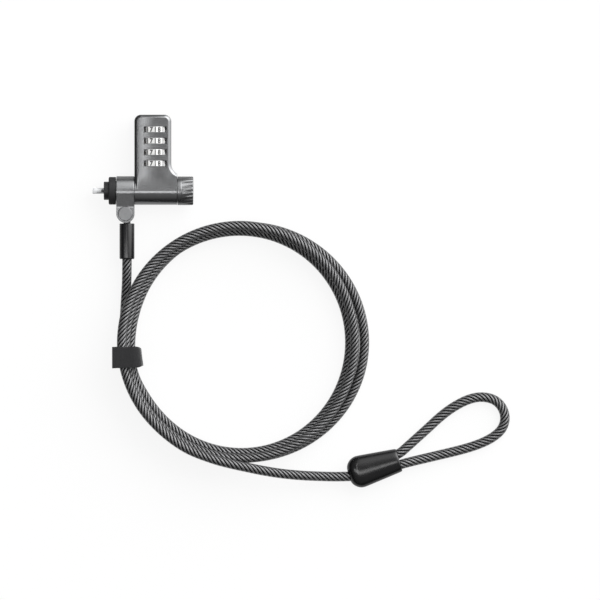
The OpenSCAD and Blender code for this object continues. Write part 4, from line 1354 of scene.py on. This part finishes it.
class LOCK_OT_inner(bpy.types.Operator):
    """Finishes on the pieces inside the head and under it"""

    bl_idname = "cable_lock.inner"
    bl_label = "Inner Pieces"

    def execute(self, context):
        finishes = {
            "back_cover": "Cover Plate", "cover_screws": "Black Screws", "dial_axle": "Turned Steel",
            "axle_spacer": "Raw Zinc", "detent_spring": "Spring Steel", "guide_pins": "Dark Pin",
            "spindle_bush": "Raw Zinc", "bush_pin": "Turned Steel", "lock_cam": "Brass",
            "locking_bar": "Brass", "cable_eyelet": "Dark Pin", "eye_ferrule": "Raw Zinc",
        }
        for i in range(1, len(DIAL_Y) + 1):
            finishes["dial_sleeve_%d" % i] = "Raw Zinc"
        for node, name in finishes.items():
            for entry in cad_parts[node].material_slots:
                entry.material = material(name)
        return {"FINISHED"}


class LOCK_PT_panel(bpy.types.Panel):
    """Settings and steps of the cable lock"""

    bl_label = "Cable Lock"
    bl_idname = "LOCK_PT_panel"
    bl_space_type = "VIEW_3D"
    bl_region_type = "UI"
    bl_category = "Cable Lock"

    def draw(self, context):
        layout = self.layout
        for title, settings in (("Head", context.scene.lock_head), ("Cable", context.scene.lock_cable),
                                ("Stage", context.scene.lock_stage)):
            box = layout.box()
            box.label(text=title)
            for key in settings.bl_rna.properties.keys():
                if key not in ("rna_type", "name"):
                    box.prop(settings, key)
        for step in STEPS:
            layout.operator(step.bl_idname)


STEPS = (LOCK_OT_stage, LOCK_OT_boot, LOCK_OT_crimp, LOCK_OT_strap, LOCK_OT_cable, LOCK_OT_case,
         LOCK_OT_collar, LOCK_OT_nose, LOCK_OT_spindle, LOCK_OT_knob, LOCK_OT_dials, LOCK_OT_inner)
CLASSES = (HeadSettings, CableSettings, StageSettings) + STEPS + (LOCK_PT_panel,)


def register():
    for cls in CLASSES:
        bpy.utils.register_class(cls)
    bpy.types.Scene.lock_head = PointerProperty(type=HeadSettings)
    bpy.types.Scene.lock_cable = PointerProperty(type=CableSettings)
    bpy.types.Scene.lock_stage = PointerProperty(type=StageSettings)


def unregister():
    del bpy.types.Scene.lock_stage
    del bpy.types.Scene.lock_cable
    del bpy.types.Scene.lock_head
    for cls in reversed(CLASSES):
        bpy.utils.unregister_class(cls)


def main():
    register()
    bpy.ops.cable_lock.stage()
    bpy.ops.cable_lock.boot()
    bpy.ops.cable_lock.crimp()
    bpy.ops.cable_lock.strap()
    bpy.ops.cable_lock.cable()
    bpy.ops.cable_lock.case()
    bpy.ops.cable_lock.collar()
    bpy.ops.cable_lock.nose()
    bpy.ops.cable_lock.spindle()
    bpy.ops.cable_lock.knob()
    bpy.ops.cable_lock.dials()
    bpy.ops.cable_lock.inner()


if __name__ == "__main__":
    main()
